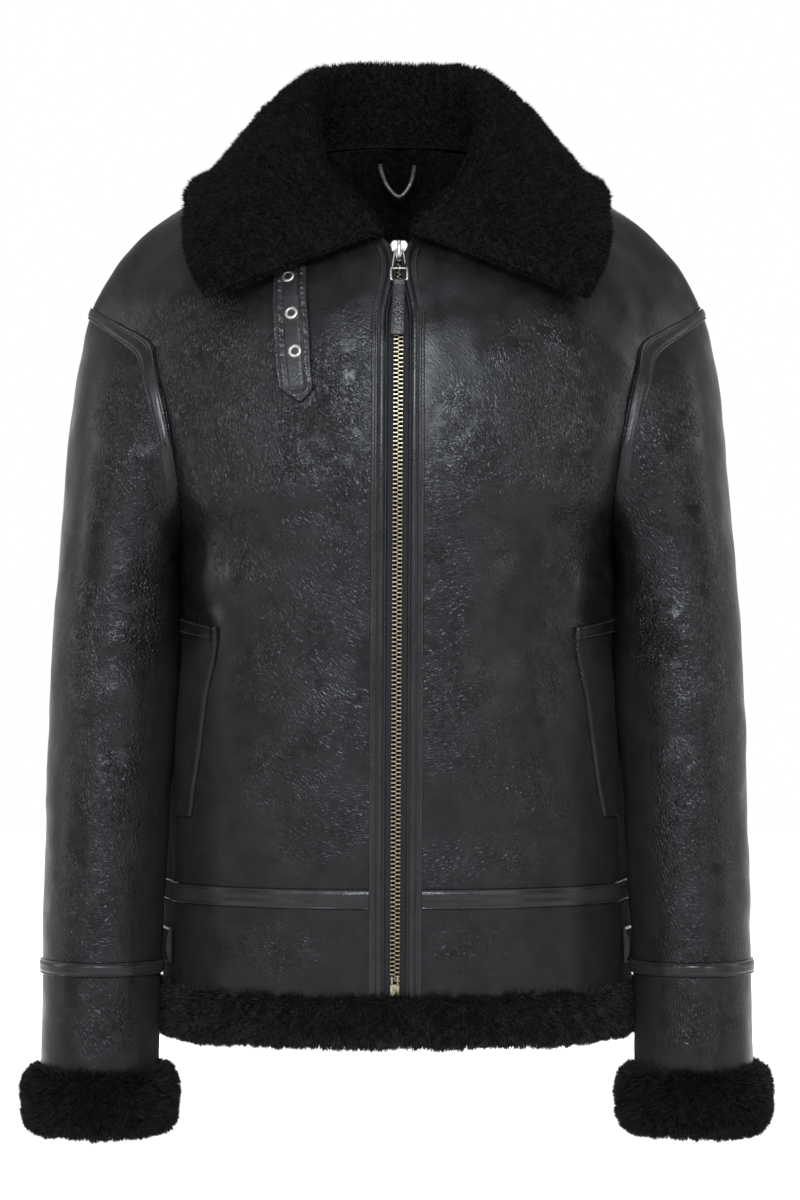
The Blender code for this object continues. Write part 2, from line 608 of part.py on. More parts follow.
def build_furs():
    # hem fur: height below the band's foot, reach outwards from the leather
    profile = [(0.3, -WALL), (0.3, 3.5), (6, 7), (20, 7.5), (33, 6), (38.5, 0), (37, -6), (25, -9)]
    us = np.linspace(0, 1, 11)
    right_front = [(u, BAND_FOOT_Z - HEM_Z, 1) for u in us]
    left_to_back = [(u, BACK_HEM_W - (BAND_FOOT_Z - HEM_Z), 1) for u in us[::-1][1:]]
    back_to_right = [(u, BACK_HEM_W - (BAND_FOOT_Z - HEM_Z), -1) for u in us[1:]]
    right_side = [(u, BAND_FOOT_Z - HEM_Z, -1) for u in us[::-1][1:]]
    sections = []
    for u, w, side in right_front + left_to_back + back_to_right + right_side:
        p, n = body(u, w), body_normal(u, w)
        n = unit(n * np.array([1.0, 1.0, 0.0]))
        q = np.array([p + reach * n + np.array([0, 0, -down]) for down, reach in profile])
        q = sided(q, side, w < SHOULDER_W, np.full(len(q), u))
        sections.append(q)
    # its ends all but meet under the foot of the zip
    close = np.array([PLACKET_IN - 0.8, 0.0, 0.0])
    sections = [sections[0] - close] + sections + [sections[-1] + close]
    tube_solid("hem_fur", sections, "black_fur")

    s, t = np.meshgrid(np.linspace(0, 8, 81), np.concatenate([
        np.linspace(0, STAND_T, 9), np.linspace(STAND_T, FOLD_T, 17)[1:], np.linspace(FOLD_T, 1, 25)[1:]]), indexing="ij")
    leather = collar_skin(s, t)
    whole = np.concatenate([leather, leather[::-1][1:] * np.array([-1.0, 1.0, 1.0])])
    n = grid_normals(whole)
    if (n[40, 45] @ np.array([1.0, 0, 1.0])) < 0:
        n = -n
    reach = through(COLLAR_S, COLLAR_ROWS, s)[..., 10]
    reach = np.concatenate([reach, reach[::-1][1:]])
    rows = np.concatenate([t, t[::-1][1:]])
    reach = np.where(rows < STAND_T, WALL + (reach - WALL) * rows / STAND_T, reach)
    reach = reach * np.where(rows > 0.93, 1 - 0.35 * (rows - 0.93) / 0.07, 1.0)
    fur = whole + reach[..., None] * n
    stations = list(range(0, 161, 6)) + [160] if 160 % 6 else list(range(0, 161, 6))
    keep = [0, 4, 8, 12, 16, 20, 24, 29, 34, 40, 48]
    wall("collar", fur[np.ix_(stations, keep)], whole[np.ix_(stations, keep)], "black_fur")


def box(name, low, high, finish, **kind):
    x0, y0, z0 = low
    x1, y1, z1 = high
    p = [(x, y, z) for x in (x0, x1) for y in (y0, y1) for z in (z0, z1)]
    f = [(0, 1, 3, 2), (4, 6, 7, 5), (0, 4, 5, 1), (2, 3, 7, 6), (0, 2, 6, 4), (1, 5, 7, 3)]
    return solid(name, p, f, finish, **kind)


def front_y(z):
    """The front surface's y at the middle, at a height."""
    z = np.asarray(z, float)
    return through(BODY_W[:13], BODY_ROWS[:13, 1:2], z - HEM_Z)[..., 0]


ZIP_TOP, ZIP_FOOT = -58.6, -615.0
SLIDER_TOP, SLIDER_FOOT, PIVOT_Z = -40.5, -57.5, -49.0


def ribbon(name, x0, x1, y0, y1, zs, finish):
    """A straight strip down the front, a box section that follows the front's curve and the zip's lean."""
    sections = []
    for z in zs:
        y, c = float(front_y(z)), float(lean(z))
        sections.append([(c + x0, y + y0, z), (c + x1, y + y0, z), (c + x1, y + y1, z), (c + x0, y + y1, z)])
    return tube_solid(name, sections, finish)


def plate(name, middle, loop, y0, y1, finish, **kind):
    """An outline in x and z, given a thickness between two depths measured from the front's own curve."""
    m = len(loop)
    p = [(middle + x, float(front_y(z)) + y0, z) for x, z in loop]
    p += [(middle + x, float(front_y(z)) + y1, z) for x, z in loop]
    faces = [tuple(range(m)), tuple(range(m, 2 * m))[::-1]]
    faces += [(i, i + m, (i + 1) % m + m, (i + 1) % m) for i in range(m)]
    return solid(name, p, faces, finish, **kind)


def helper_for(host, tool, operation):
    step = host.modifiers.new(tool.name, "BOOLEAN")
    step.operation = operation
    step.object = tool
    tool.hide_render = True
    tool.display_type = "WIRE"


def build_zip():
    zs = np.concatenate([[ZIP_TOP], np.linspace(-90, -580, 15), [ZIP_FOOT]])
    ribbon("zip_chain", -ZIP_HALF, ZIP_HALF, 1.6, 4.2, zs, "antique_brass")
    tape = np.concatenate([[ZIP_TOP], zs[1:-1], [BAND_FOOT_Z]])
    ribbon("zip_tape_left", 4.2, 7.3, 3.0, 4.0, tape, "zip_tape_cloth")
    ribbon("zip_tape_right", -7.3, -4.2, 3.0, 4.0, tape, "zip_tape_cloth")
    y = float(front_y(-620))
    c = float(lean(-620))
    box("zip_box", (c - 3.9, y + 0.4, BAND_FOOT_Z), (c + 3.9, y + 5.0, ZIP_FOOT - 0.4), "antique_brass")

    # slider: a body with a bridge that carries the pull
    top, foot, half = SLIDER_TOP, SLIDER_FOOT, 6.6
    c = float(lean(PIVOT_Z))
    outline = [(-half, top), (-2.2, top), (0, top - 2.5), (2.2, top), (half, top), (half, top - 6),
               (4.6, foot), (-4.6, foot), (-half, top - 6)]
    slider = plate("zip_slider", c, outline, -1.5, 5.0, "nickel")
    # the bridge, seen from the side: height, depth in front of the jacket's front
    arch = [(top - 1.5, -1.2), (top - 2.5, -4.6), (top - 4.5, -5.8), (foot + 5.5, -5.8), (foot + 3, -4.8), (foot + 1.5, -1.2),
            (foot + 5, -1.2), (foot + 6.2, -4.4), (top - 6.2, -4.4), (top - 5, -1.2)]
    m = len(arch)
    p = [(c + x, float(front_y(z)) + dy, z) for x in (-1.7, 1.7) for z, dy in arch]
    faces = [tuple(range(m)), tuple(range(m, 2 * m))[::-1]] + [(i, i + m, (i + 1) % m + m, (i + 1) % m) for i in range(m)]
    helper_for(slider, solid("bridge", p, faces, "nickel"), "UNION")
    return c


def build_pull(c):
    """The pull hangs from the slider's bridge and swings up about X."""
    pivot = np.array([c, float(front_y(PIVOT_Z)) - 3.0, PIVOT_Z])
    hinge = bpy.data.objects.new("pull_hinge", None)
    hinge.location = pivot * MM
    hinge["pivot_mm"] = [float(v) for v in pivot]
    bpy.context.scene.collection.objects.link(hinge)

    # frame: outer half width and the window's, by height from the pivot
    rows = [(0.6, 3.0), (-0.6, 3.7), (-8.0, 5.3), (-14.0, 5.7), (-20.0, 5.9), (-23.0, 5.7)]
    window = [(-0.6, 2.3), (-8.0, 3.5), (-13.6, 3.9)]
    outer = [(w, PIVOT_Z + z) for z, w in rows] + [(-w, PIVOT_Z + z) for z, w in rows[::-1]]
    inner = [(w, PIVOT_Z + z) for z, w in window] + [(-w, PIVOT_Z + z) for z, w in window[::-1]]
    frame = plate("pull_frame", c, outer, -3.75, -2.25, "nickel", joined=hinge, origin=pivot)
    hole = plate("frame_window", c, inner, -9.0, 3.0, "nickel", joined=hinge, origin=pivot)
    helper_for(frame, hole, "DIFFERENCE")
    # leather tab below the frame; it leans a little to the wearer's right
    tab = []
    for z, half in ((-72.4, 4.6), (-84.0, 4.8), (-98.0, 5.0), (-113.0, 5.2), (-116.5, 4.6)):
        y = float(front_y(z))
        x = c - 1.3 * (-72.4 - z) / 44.0
        tab.append([(x - half, y - 4.8, z), (x + half, y - 4.8, z), (x + half, y - 2.2, z), (x - half, y - 2.2, z)])
    tube_solid("pull_tab", tab, "black_leather", joined=hinge, origin=pivot)


def build_throat_strap():
    # height, middle, half width, seen from the front
    rows = [(-70, -82, 13.0), (-90, -82, 13.4), (-105, -81, 13.8), (-120, -80.3, 14), (-140, -79, 13.6),
            (-157, -77, 13.4), (-163, -75.5, 7.5), (-167.5, -73.8, 1.2)]
    z = np.array([r[0] for r in rows])
    across = np.linspace(-1, 1, 5)
    x = np.array([r[1] for r in rows])[None] + across[:, None] * np.array([r[2] for r in rows])[None]
    zz = np.broadcast_to(z, x.shape)
    u, w = front_uv(np.abs(x), zz)
    skin("throat_strap", -1.0, u, w, np.full(u.shape, 2.2), base=1.0, leans=False)
    for i, (x, z) in enumerate(((-83.5, -70.5), (-80.8, -99.5), (-78.0, -129.0))):
        u, w = front_uv(abs(x), z)
        p, n = body(u, w) * np.array([-1.0, 1, 1]), body_normal(u, w) * np.array([-1.0, 1, 1])
        centre = p + (1.0 + 2.2 + 1.1) * n
        side = unit(np.cross(n, np.array([0, 0, 1.0])))
        up = np.cross(side, n)
        turns, steps = 16, 6
        pts, faces = [], []
        for a in range(turns):
            d = math.cos(2 * math.pi * a / turns) * side + math.sin(2 * math.pi * a / turns) * up
            for b in range(steps):
                angle = 2 * math.pi * b / steps
                pts.append(centre + d * (3.9 + 1.35 * math.cos(angle)) + n * 0.75 * math.sin(angle))
        for a in range(turns):
            for b in range(steps):
                i0, i1 = a * steps + b, a * steps + (b + 1) % steps
                j0, j1 = ((a + 1) % turns) * steps + b, ((a + 1) % turns) * steps + (b + 1) % steps
                faces += [(i0, j0, j1), (i0, j1, i1)]
        solid(f"eyelet_{i + 1}", pts, faces, "nickel")


def build_pockets():
    # height and the opening's distance from the middle, seen from the front
    line = [(-342, 138), (-354, 138.5), (-374, 142), (-400, 147), (-435, 152), (-470, 157.5), (-488, 160.5)]
    for label, side in SIDES:
        z = np.array([r[0] for r in line], float)
        first, w = front_uv(np.array([r[1] for r in line], float), z)
        # its columns are the panel's own past the opening line
        own = US[(US > first.max() + 0.02) & (US < 0.81)]
        u = np.stack([first, (first + own[0]) / 2] + [np.full(len(z), v) for v in own])
        t = (u[:, 3] - u[0, 3]) / (u[-1, 3] - u[0, 3])
        slope = np.array([9.0, 6, 3, 0, 0, 0, 0])
        ww = (z - HEM_Z)[None] + (t[:, None] * slope[None])
        skin(f"pocket_{label}", side, u, ww, np.full(u.shape, 1.6), base=1.5, leans=False)


def build_side_tabs():
    for label, side in SIDES:
        # strap round the side of the hem band: from the front over the side seam to the back
        z_top, z_foot = -581.0, -607.0
        rows = np.array([z_foot - HEM_Z, (z_foot + z_top) / 2 - HEM_Z, z_top - HEM_Z])
        us = np.linspace(0.90, 0.36, 7)
        u, w = np.meshgrid(us, BACK_HEM_W - rows, indexing="ij")
        skin(f"side_strap_{label}", side, u, w, np.full(u.shape, 2.4), base=0.6, leans=False)
        us = np.linspace(0.80, 0.92, 4)
        u, w = np.meshgrid(us, rows + np.array([-1.0, 0, 1.0]), indexing="ij")
        skin(f"side_keeper_{label}", side, u, w, np.full(u.shape, 3.2), base=0.6, leans=False)
        # buckle frame standing on the side seam: an oblong ring
        p, n = body(0.985, (z_top + z_foot) / 2 - HEM_Z), np.array([1.0, 0, 0])
        centre = np.array([side * (p[0] + 4.2), 14.0, (z_top + z_foot) / 2])
        half_y, half_z, bar, thick = 8.0, 16.0, 2.2, 1.5
        pts, faces = [], []
        loop = [(-1, -1), (1, -1), (1, 1), (-1, 1)]
        for dx in (-thick / 2, thick / 2):
            for shrink in (0, bar):
                for a, b in loop:
                    pts.append(centre + np.array([dx, a * (half_y - shrink), b * (half_z - shrink)]))
        for k in range(4):
            m = (k + 1) % 4
            faces += [(k, m, 4 + m, 4 + k), (8 + k, 12 + k, 12 + m, 8 + m), (k, 8 + k, 8 + m, m), (4 + k, 4 + m, 12 + m, 12 + k)]
        solid(f"side_buckle_{label}", pts, faces, "nickel")


def build_hanger_loop():
    # the loop's middle line, inside the back of the neck
    knots = [(-13.5, 66, 35), (-13, 64.5, 30), (-9, 62, 19), (-3, 61.5, 11), (1.5, 61.5, 8.5), (6, 61.5, 11), (11, 62, 19), (13.5, 64.5, 29), (14, 66, 34)]
    t = np.linspace(0, 8, 17)
    mid = through(np.arange(9), np.array(knots, float), t)
    along = unit(np.gradient(mid, axis=0))
    sections = []
    for p, d in zip(mid, along):
        side = unit(np.cross(d, np.array([0, 1.0, 0])))
        up = np.cross(side, d)
        sections.append([p + 2.0 * math.cos(a) * side + 1.5 * math.sin(a) * up for a in np.arange(6) * math.pi / 3])
    tube_solid("hanger_loop", sections, "black_leather")


build_body()
build_strips()
build_sleeves()
build_furs()
build_pull(build_zip())
build_throat_strap()
build_pockets()
build_side_tabs()
build_hanger_loop()
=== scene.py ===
import math

import bpy
import numpy as np
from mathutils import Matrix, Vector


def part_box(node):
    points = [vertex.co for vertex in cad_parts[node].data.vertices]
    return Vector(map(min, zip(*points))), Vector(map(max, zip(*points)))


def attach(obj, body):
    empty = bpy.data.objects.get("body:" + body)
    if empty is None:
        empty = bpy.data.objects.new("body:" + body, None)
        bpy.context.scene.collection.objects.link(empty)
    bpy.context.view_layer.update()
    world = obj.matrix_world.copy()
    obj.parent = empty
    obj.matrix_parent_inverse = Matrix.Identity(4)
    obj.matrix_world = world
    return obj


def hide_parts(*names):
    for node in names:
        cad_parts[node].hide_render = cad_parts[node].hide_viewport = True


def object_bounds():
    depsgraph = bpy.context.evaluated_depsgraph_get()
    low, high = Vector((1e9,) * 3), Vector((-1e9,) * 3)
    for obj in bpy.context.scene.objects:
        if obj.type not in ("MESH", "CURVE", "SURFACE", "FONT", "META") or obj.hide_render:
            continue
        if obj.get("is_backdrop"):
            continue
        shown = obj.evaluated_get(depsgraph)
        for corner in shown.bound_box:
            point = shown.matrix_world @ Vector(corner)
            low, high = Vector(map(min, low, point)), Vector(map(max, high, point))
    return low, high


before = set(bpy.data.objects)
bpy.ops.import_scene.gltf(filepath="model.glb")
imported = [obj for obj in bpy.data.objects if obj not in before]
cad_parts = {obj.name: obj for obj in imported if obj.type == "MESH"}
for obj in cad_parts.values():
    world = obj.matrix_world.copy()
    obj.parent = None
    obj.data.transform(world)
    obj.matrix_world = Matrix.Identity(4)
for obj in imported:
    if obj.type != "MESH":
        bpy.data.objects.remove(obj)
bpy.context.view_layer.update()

MM = 0.001
scene = bpy.context.scene

# ---- camera, light and floor ------------------------------------------------------
camera_data = bpy.data.cameras.new("camera")
camera = bpy.data.objects.new("camera", camera_data)
scene.collection.objects.link(camera)
camera.location = (0.0024, -3.4, -0.32)
camera.rotation_euler = (math.radians(90), 0, 0)
camera_data.sensor_width = 36.0
camera_data.sensor_fit = "AUTO"
camera_data.lens = 36.0 * 3.4 / 0.96
scene.camera = camera
scene.view_settings.view_transform = "Standard"
scene.view_settings.look = "None"


def area_light(name, place, aim, size_x, size_y, power, colour=(1, 1, 1)):
    data = bpy.data.lights.new(name, "AREA")
    data.shape = "RECTANGLE"
    data.size, data.size_y = size_x, size_y
    data.energy = power
    data.color = colour
    made = bpy.data.objects.new(name, data)
    scene.collection.objects.link(made)
    made.location = place
    way = np.array(aim, float) - np.array(place, float)
    way /= np.linalg.norm(way)
    pitch = math.acos(max(-1.0, min(1.0, -way[2])))
    made.rotation_euler = (pitch, 0, math.atan2(-way[0], way[1]))
    return made


LIGHTS = [
    # name, place, aim, width, height, power, colour
    ("key", (-0.06, -3.3, 1.0), (0, 0, -0.25), 1.0, 0.75, 180, (0.84, 0.90, 1.0)),
    ("key_left", (-1.7, -2.6, 0.5), (0, 0, -0.30), 0.35, 1.6, 34, (0.92, 0.95, 1.0)),
    ("key_right", (1.7, -2.6, 0.4), (0, 0, -0.30), 0.35, 1.6, 34, (0.92, 0.95, 1.0)),
    ("side_left", (-2.4, 0.1, 0.3), (0, 0, -0.30), 0.6, 1.6, 20, (1.0, 0.95, 0.88)),
    ("side_right", (2.4, 0.1, 0.3), (0, 0, -0.30), 0.6, 1.6, 20, (1.0, 0.95, 0.88)),
    ("top", (0.0, 0.2, 2.2), (0, 0, 0), 1.8, 1.2, 30, (1.0, 0.96, 0.92)),
    ("back", (0.2, 3.0, 1.2), (0, 0, -0.3), 1.5, 0.9, 75, (0.92, 0.96, 1.0)),
]
for row in LIGHTS:
    area_light(*row)

world = bpy.data.worlds.new("studio")
scene.world = world
world.use_nodes = True
world.node_tree.nodes["Background"].inputs[0].default_value = (1.0, 1.0, 1.0, 1.0)
world.node_tree.nodes["Background"].inputs[1].default_value = 1.0

# ---- driving dimensions, mm, the same as the construction's --------------------------
WALL = 8.0
GAP = 0.3
LEATHER = 1.6
HEM_Z = -664.0
BAND_FOOT_Z = -626.0
WAIST_SEAM_Z = -550.0
STRIP_HALF = 8.0
ARMHOLE_STRIP = 11.0
SLEEVE_STRIP_HALF = 6.0
ZIP_HALF = 3.85
PLACKET_IN, PLACKET_OUT = 8.0, 20.5
ARMPIT_W = 389.0
SHOULDER_W = 730.0
NECK_BACK_W = 846.0
BACK_ARMPIT_W = 1175.0
BACK_HEM_W = 1564.0
ROUND = 1.95
# ---- tables ------------------------------------------------------------------
# name, z, half_width, front_depth, back_depth, how far back the side seam runs
SKIRT = [
    ("hem", -664, 188, 130, 128, 25),
    ("band", -614, 188, 133, 129, 26),
    ("waist_seam", -550, 188, 136, 130, 28),
    ("pocket_foot", -480, 187, 138.5, 131, 30),
    ("hip", -400, 184, 140, 132, 29),
    ("pocket_top", -335, 179, 141, 134, 24),
    ("armpit", -275, 172, 141, 137, 8),
]
# name, w, start x y z (front edge or neckline), start pull x y z, end pull x y z
YOKE = [
    ("low_armhole_a", 404, (8, -141.3, -260), (277, 0, 0), (20, 235, 0)),
    ("low_armhole_b", 419, (8, -141.5, -245), (247, 0, 0), (45, 195, -5)),
    ("mid_armhole", 449, (8, -141, -215), (212, 0, 0), (80, 150, -8)),
    ("chest", 504, (8, -136, -160), (200, 0, 0), (98, 118, -25)),
    ("notch", 559, (8, -125, -105), (200, 0, -4), (108, 98, -55)),
    ("neck_front", 625, (8, -100, -42), (205, 0, -12), (112, 78, -92)),
    ("neck_side_front", 665, (52, -76, -16), (185, -6, -25), (105, 62, -112)),
    ("neck_side_high", 697, (76, -38, 10), (175, -8, -30), (95, 35, -135)),
    ("shoulder", 730, (86, 5, 28), (172, -3, -33), (84, 0, -202)),
    ("neck_back_side", 763, (82, 36, 36), (175, 6, -30), (95, -35, -135)),
    ("neck_back_low", 796, (60, 62, 43), (190, 8, -25), (105, -60, -112)),
    ("neck_back", 846, (0, 77, 46), (225, 8, -12), (115, -75, -92)),
    ("blade_high", 905, (0, 103, -8), (220, 0, -6), (115, -92, -58)),
    ("blade", 965, (0, 122, -66), (212, 0, -2), (105, -112, -30)),
    ("blade_low", 1035, (0, 133, -135), (208, 0, 0), (88, -145, -10)),
    ("back_low_b", 1110, (0, 137, -212), (235, 0, 0), (50, -195, -5)),
    ("back_low_a", 1145, (0, 137.3, -245), (280, 0, 0), (20, -238, 0)),
]
# name, w, x, y, z
ARMHOLE = [
    ("armpit", 389, 172, 8, -275),
    ("low_front", 404, 169.5, -32, -269),
    ("front_low", 419, 169, -64, -252),
    ("front_mid", 449, 173, -83, -214),
    ("front_high", 504, 179.5, -85, -173),
    ("notch", 559, 187, -77, -141),
    ("front_top_a", 625, 195, -61, -116),
    ("front_top_b", 665, 214, -42, -105),
    ("front_top_c", 697, 231, -22, -95),
    ("tip", 730, 243, 0, -86),
    ("back_top_c", 763, 231, 22, -94),
    ("back_top_b", 796, 215, 43, -103),
    ("back_top_a", 846, 198, 62, -115),
    ("back_notch", 905, 190, 77, -140),
    ("back_high", 965, 184, 86, -172),
    ("back_mid", 1035, 178, 85, -213),
    ("back_low", 1110, 173, 66, -251),
    ("low_back", 1145, 171.5, 42, -268),
    ("armpit_again", 1175, 172, 8, -275),
]
# name, s (tape down the outer side), outer x z, inner x z, centre y, half depth, share of the armhole's shape
SLEEVE = [
    ("armhole", 0, 243, -86, 172, -275, 0, 88, 1.0),
    ("head", 18, 249.3, -104, 173.5, -288, 0, 86, 0.62),
    ("cap", 50, 255.8, -135, 172.5, -303, 0, 84, 0.25),
    ("upper_arm", 100, 261.4, -180, 171, -324, -1, 79, 0.06),
    ("biceps", 160, 267, -240, 168.6, -342, -5, 75, 0),
    ("above_elbow", 240, 272.6, -320, 171, -380, -13, 71, 0),
    ("elbow", 320, 275.8, -400, 176, -430, -21, 67.5, 0),
    ("forearm", 400, 277.8, -480, 180, -490, -29, 63.5, 0),
    ("low_forearm", 460, 279, -540, 182.5, -542, -35, 59.5, 0),
    ("seam", 528, 280, -608, 186, -608, -40, 55.5, 0),
    ("wrist", 612, 281, -692, 187.5, -692, -46, 51.5, 0),
]
# name, station, neck x y z, fold centre x y z, outer edge x y z, plumpness, fur reach
COLLAR = [
    ("front_end", 0, (15, -101, -40), (16, -109, -36), (147, -112, -86), 2, 8),
    ("throat", 1, (36, -92, -26), (37, -101, -20), (160, -85, -60), 7, 11),
    ("throat_side", 2, (57, -70, -8), (57, -80, -2), (166, -52, -34), 11, 12),
    ("neck_front", 3, (75, -40, 14), (69, -52, 22), (165, -18, -12), 12, 12),
    ("neck_side", 4, (85, 0, 31), (75, -14, 48), (160, 24, -4), 13, 12),
    ("neck_back_side", 5, (81, 37, 40), (75, 22, 76), (145, 72, -8), 14, 12),
    ("back_corner", 6, (60, 63, 46), (67, 52, 96), (116, 114, -16), 16, 12),
    ("back", 7, (31, 74, 48.5), (38, 76, 104), (64, 138, -26), 14, 12),
    ("centre_back", 8, (0, 78, 49), (0, 85, 106), (0, 146, -30), 13, 12),
]


# ---- curves and surfaces -------------------------------------------------------
def through(knots, rows, t):
    """The smooth curve that passes through rows of values at rising knots."""
    k = np.asarray(knots, float)
    v = np.asarray(rows, float)
    t = np.clip(np.asarray(t, float), k[0], k[-1])
    d = np.diff(k)
    slope = np.diff(v, axis=0) / d[:, None]
    m = np.empty_like(v)
    m[1:-1] = (slope[:-1] * d[1:, None] + slope[1:] * d[:-1, None]) / (d[:-1] + d[1:])[:, None]
    m[0] = 1.5 * slope[0] - 0.5 * m[1]
    m[-1] = 1.5 * slope[-1] - 0.5 * m[-2]
    i = np.clip(np.searchsorted(k, t, side="right") - 1, 0, len(k) - 2)
    h = d[i][..., None]
    x = ((t - k[i]) / d[i])[..., None]
    return (
        (2 * x**3 - 3 * x**2 + 1) * v[i]
        + (x**3 - 2 * x**2 + x) * h * m[i]
        + (3 * x**2 - 2 * x**3) * v[i + 1]
        + (x**3 - x**2) * h * m[i + 1]
    )


def unit(a):
    return a / np.maximum(np.linalg.norm(a, axis=-1, keepdims=True), 1e-9)


def body_table():
    """Knots and rows of (start, start pull, end pull) from the front hem over the shoulder to the back hem."""
    knots, rows = [], []
    for name, z, half, front, back, aft in SKIRT:
        knots.append(z - HEM_Z)
        rows.append([8, -front, z, ROUND * (half - 8), 0, 0, 0, ROUND * (front + aft), 0])
    for name, w, start, pull, end in YOKE:
        knots.append(w)
        rows.append([*start, *pull, *end])
    for name, z, half, front, back, aft in reversed(SKIRT):
        knots.append(BACK_HEM_W - (z - HEM_Z))
        rows.append([0, back, z, ROUND * half, 0, 0, 0, -ROUND * (back - aft), 0])
    return np.array(knots, float), np.array(rows, float)


BODY_W, BODY_ROWS = body_table()
# the sleeve's oval at a height, from its own table: inner x, outer x, centre y, half depth
PRESS = sorted((row[5] if row[1] < 300 else row[3], row[4], row[2], row[6], row[7]) for row in SLEEVE[3:])
PRESS_Z = np.array([row[0] for row in PRESS], float)
PRESS_ROWS = np.array([row[1:] for row in PRESS], float)
ARM_W = np.array([row[1] for row in ARMHOLE], float)
ARM_P = np.array([row[2:] for row in ARMHOLE], float)
SIDE_W = np.array([row[1] - HEM_Z for row in SKIRT], float)
SIDE_XY = np.array([[row[2], row[5]] for row in SKIRT], float)


def outer_edge(w):
    """The side seam below the armpit, the armhole above it."""
    w = np.asarray(w, float)
    up = np.where(w > SHOULDER_W, BACK_HEM_W - w, w)
    xy = through(SIDE_W, SIDE_XY, up)
    side = np.stack([xy[..., 0], xy[..., 1], up + HEM_Z], axis=-1)
    low = (w < ARMPIT_W) | (w > BACK_ARMPIT_W)
    return np.where(low[..., None], side, through(ARM_W, ARM_P, w))


def lean(z):
    """The closed zip leans a little: its middle in x at a height."""
    return 1.7 - 3.4 * np.clip((-42 - z) / 584.0, 0, 1)


SLEEVE_GAP = 4.4


def clear_of_sleeve(p):
    """Body points that the hanging sleeve presses in: its oval at each height, a gap wider, pushes them out of itself."""
    z = p[..., 2]
    x_in, x_out, yc, depth = np.moveaxis(through(PRESS_Z, PRESS_ROWS, z), -1, 0)
    cx, half = (x_in + x_out) / 2, (x_out - x_in) / 2 + SLEEVE_GAP
    deep = depth + SLEEVE_GAP
    dy = (p[..., 1] - yc) / deep
    wall_x = cx - half * np.sqrt(np.clip(1 - dy**2, 0, 1))
    over = p[..., 0] - wall_x
    soft = 3.0
    pushed = wall_x - soft * np.log1p(np.exp(np.clip(-over / soft, -30, 30)))
    low = np.clip((-277 - z) / 55.0, 0, 1)
    on = low * low * (3 - 2 * low) * np.clip((1 - np.abs(dy)) / 0.25, 0, 1)
    q = p.copy()
    q[..., 0] = np.where(on > 0, p[..., 0] + on * (np.minimum(pushed, p[..., 0]) - p[..., 0]), p[..., 0])
    return q


def body(u, w):
    """A point of the outer surface of the half body at +X: u from the middle edge to the side, w the tape distance."""
    u, w = np.broadcast_arrays(np.asarray(u, float), np.asarray(w, float))
    row = through(BODY_W, BODY_ROWS, w)
    a, ta, tb = row[..., 0:3], row[..., 3:6], row[..., 6:9]
    b = outer_edge(w)
    x = u[..., None]
    p = (
        (2 * x**3 - 3 * x**2 + 1) * a
        + (x**3 - 2 * x**2 + x) * ta
        + (3 * x**2 - 2 * x**3) * b
        + (x**3 - x**2) * tb
    )
    return clear_of_sleeve(p)


ARM_C = np.array([207.0, 0.0, -181.0])
ARM_AXIS = unit(np.array([189.0, 0.0, 71.0]))  # the way the arm goes through


def arm_normal(p):
    """The seam's own outward direction round the armhole, shared by the body and the sleeve."""
    r = p - ARM_C
    return unit(r - (r @ ARM_AXIS)[..., None] * ARM_AXIS)


def body_normal(u, w):
    u, w = np.broadcast_arrays(np.asarray(u, float), np.asarray(w, float))
    e = 0.01
    u0, u1 = np.clip(u - e, 0, 1), np.clip(u + e, 0, 1)
    w0, w1 = np.clip(w - 1.5, 0, BACK_HEM_W), np.clip(w + 1.5, 0, BACK_HEM_W)
    n = unit(np.cross(body(u1, w) - body(u0, w), body(u, w1) - body(u, w0)))
    rim = (u > 0.999) & (w >= ARMPIT_W - 0.01) & (w <= BACK_ARMPIT_W + 0.01)
    side = (u > 0.999) & ~rim
    n = np.where(rim[..., None], arm_normal(body(u, w)), n)
    flat = n * np.array([1.0, 0.0, 1.0])
    return np.where(side[..., None], unit(flat), n)


def sided(p, side, zip_lean=False, u=None):
    """The half body's points on one side; the front edges follow the zip's lean."""
    q = p.copy()
    q[..., 0] *= side
    if zip_lean:
        fade = (1 - np.clip(u, 0, 1)) ** 2 * np.clip((-20 - p[..., 2]) / 40.0, 0, 1)
        q[..., 0] += lean(p[..., 2]) * fade
    return q


def u_at(distance, w):
    """The u whose point is a distance in from the start of the row."""
    w = np.asarray(w, float)
    start = body(np.zeros_like(w), w)
    u = np.full(w.shape, 0.02)
    for _ in range(12):
        far = np.linalg.norm(body(u, w) - start, axis=-1)
        farther = np.linalg.norm(body(u + 0.002, w) - start, axis=-1)
        u = u + (distance - far) / np.maximum((farther - far) / 0.002, 1.0)
    return u


def front_uv(x, z):
    """(u, w) of the front's point at a height z and a distance x from the middle."""
    x, z = np.broadcast_arrays(np.asarray(x, float), np.asarray(z, float))
    u, w = 0.7 * np.clip((x - 8) / 170.0, 0.02, 0.9) ** 1.1, z - HEM_Z
    for _ in range(40):
        p = body(u, w)
        du = (body(u + 0.002, w) - p) / 0.002
        dw = (body(u, w + 0.5) - p) / 0.5
        ex, ez = x - p[..., 0], z - p[..., 2]
        det = du[..., 0] * dw[..., 2] - du[..., 2] * dw[..., 0]
        u = np.clip(u + np.clip(0.8 * (ex * dw[..., 2] - ez * dw[..., 0]) / det, -0.04, 0.04), 0, 1)
        w = np.clip(w + 0.8 * (du[..., 0] * ez - du[..., 2] * ex) / det, 0, SHOULDER_W)
    return u, w


SLEEVE_S = np.array([row[1] for row in SLEEVE], float)
SLEEVE_ROWS = np.array([row[2:] for row in SLEEVE], float)


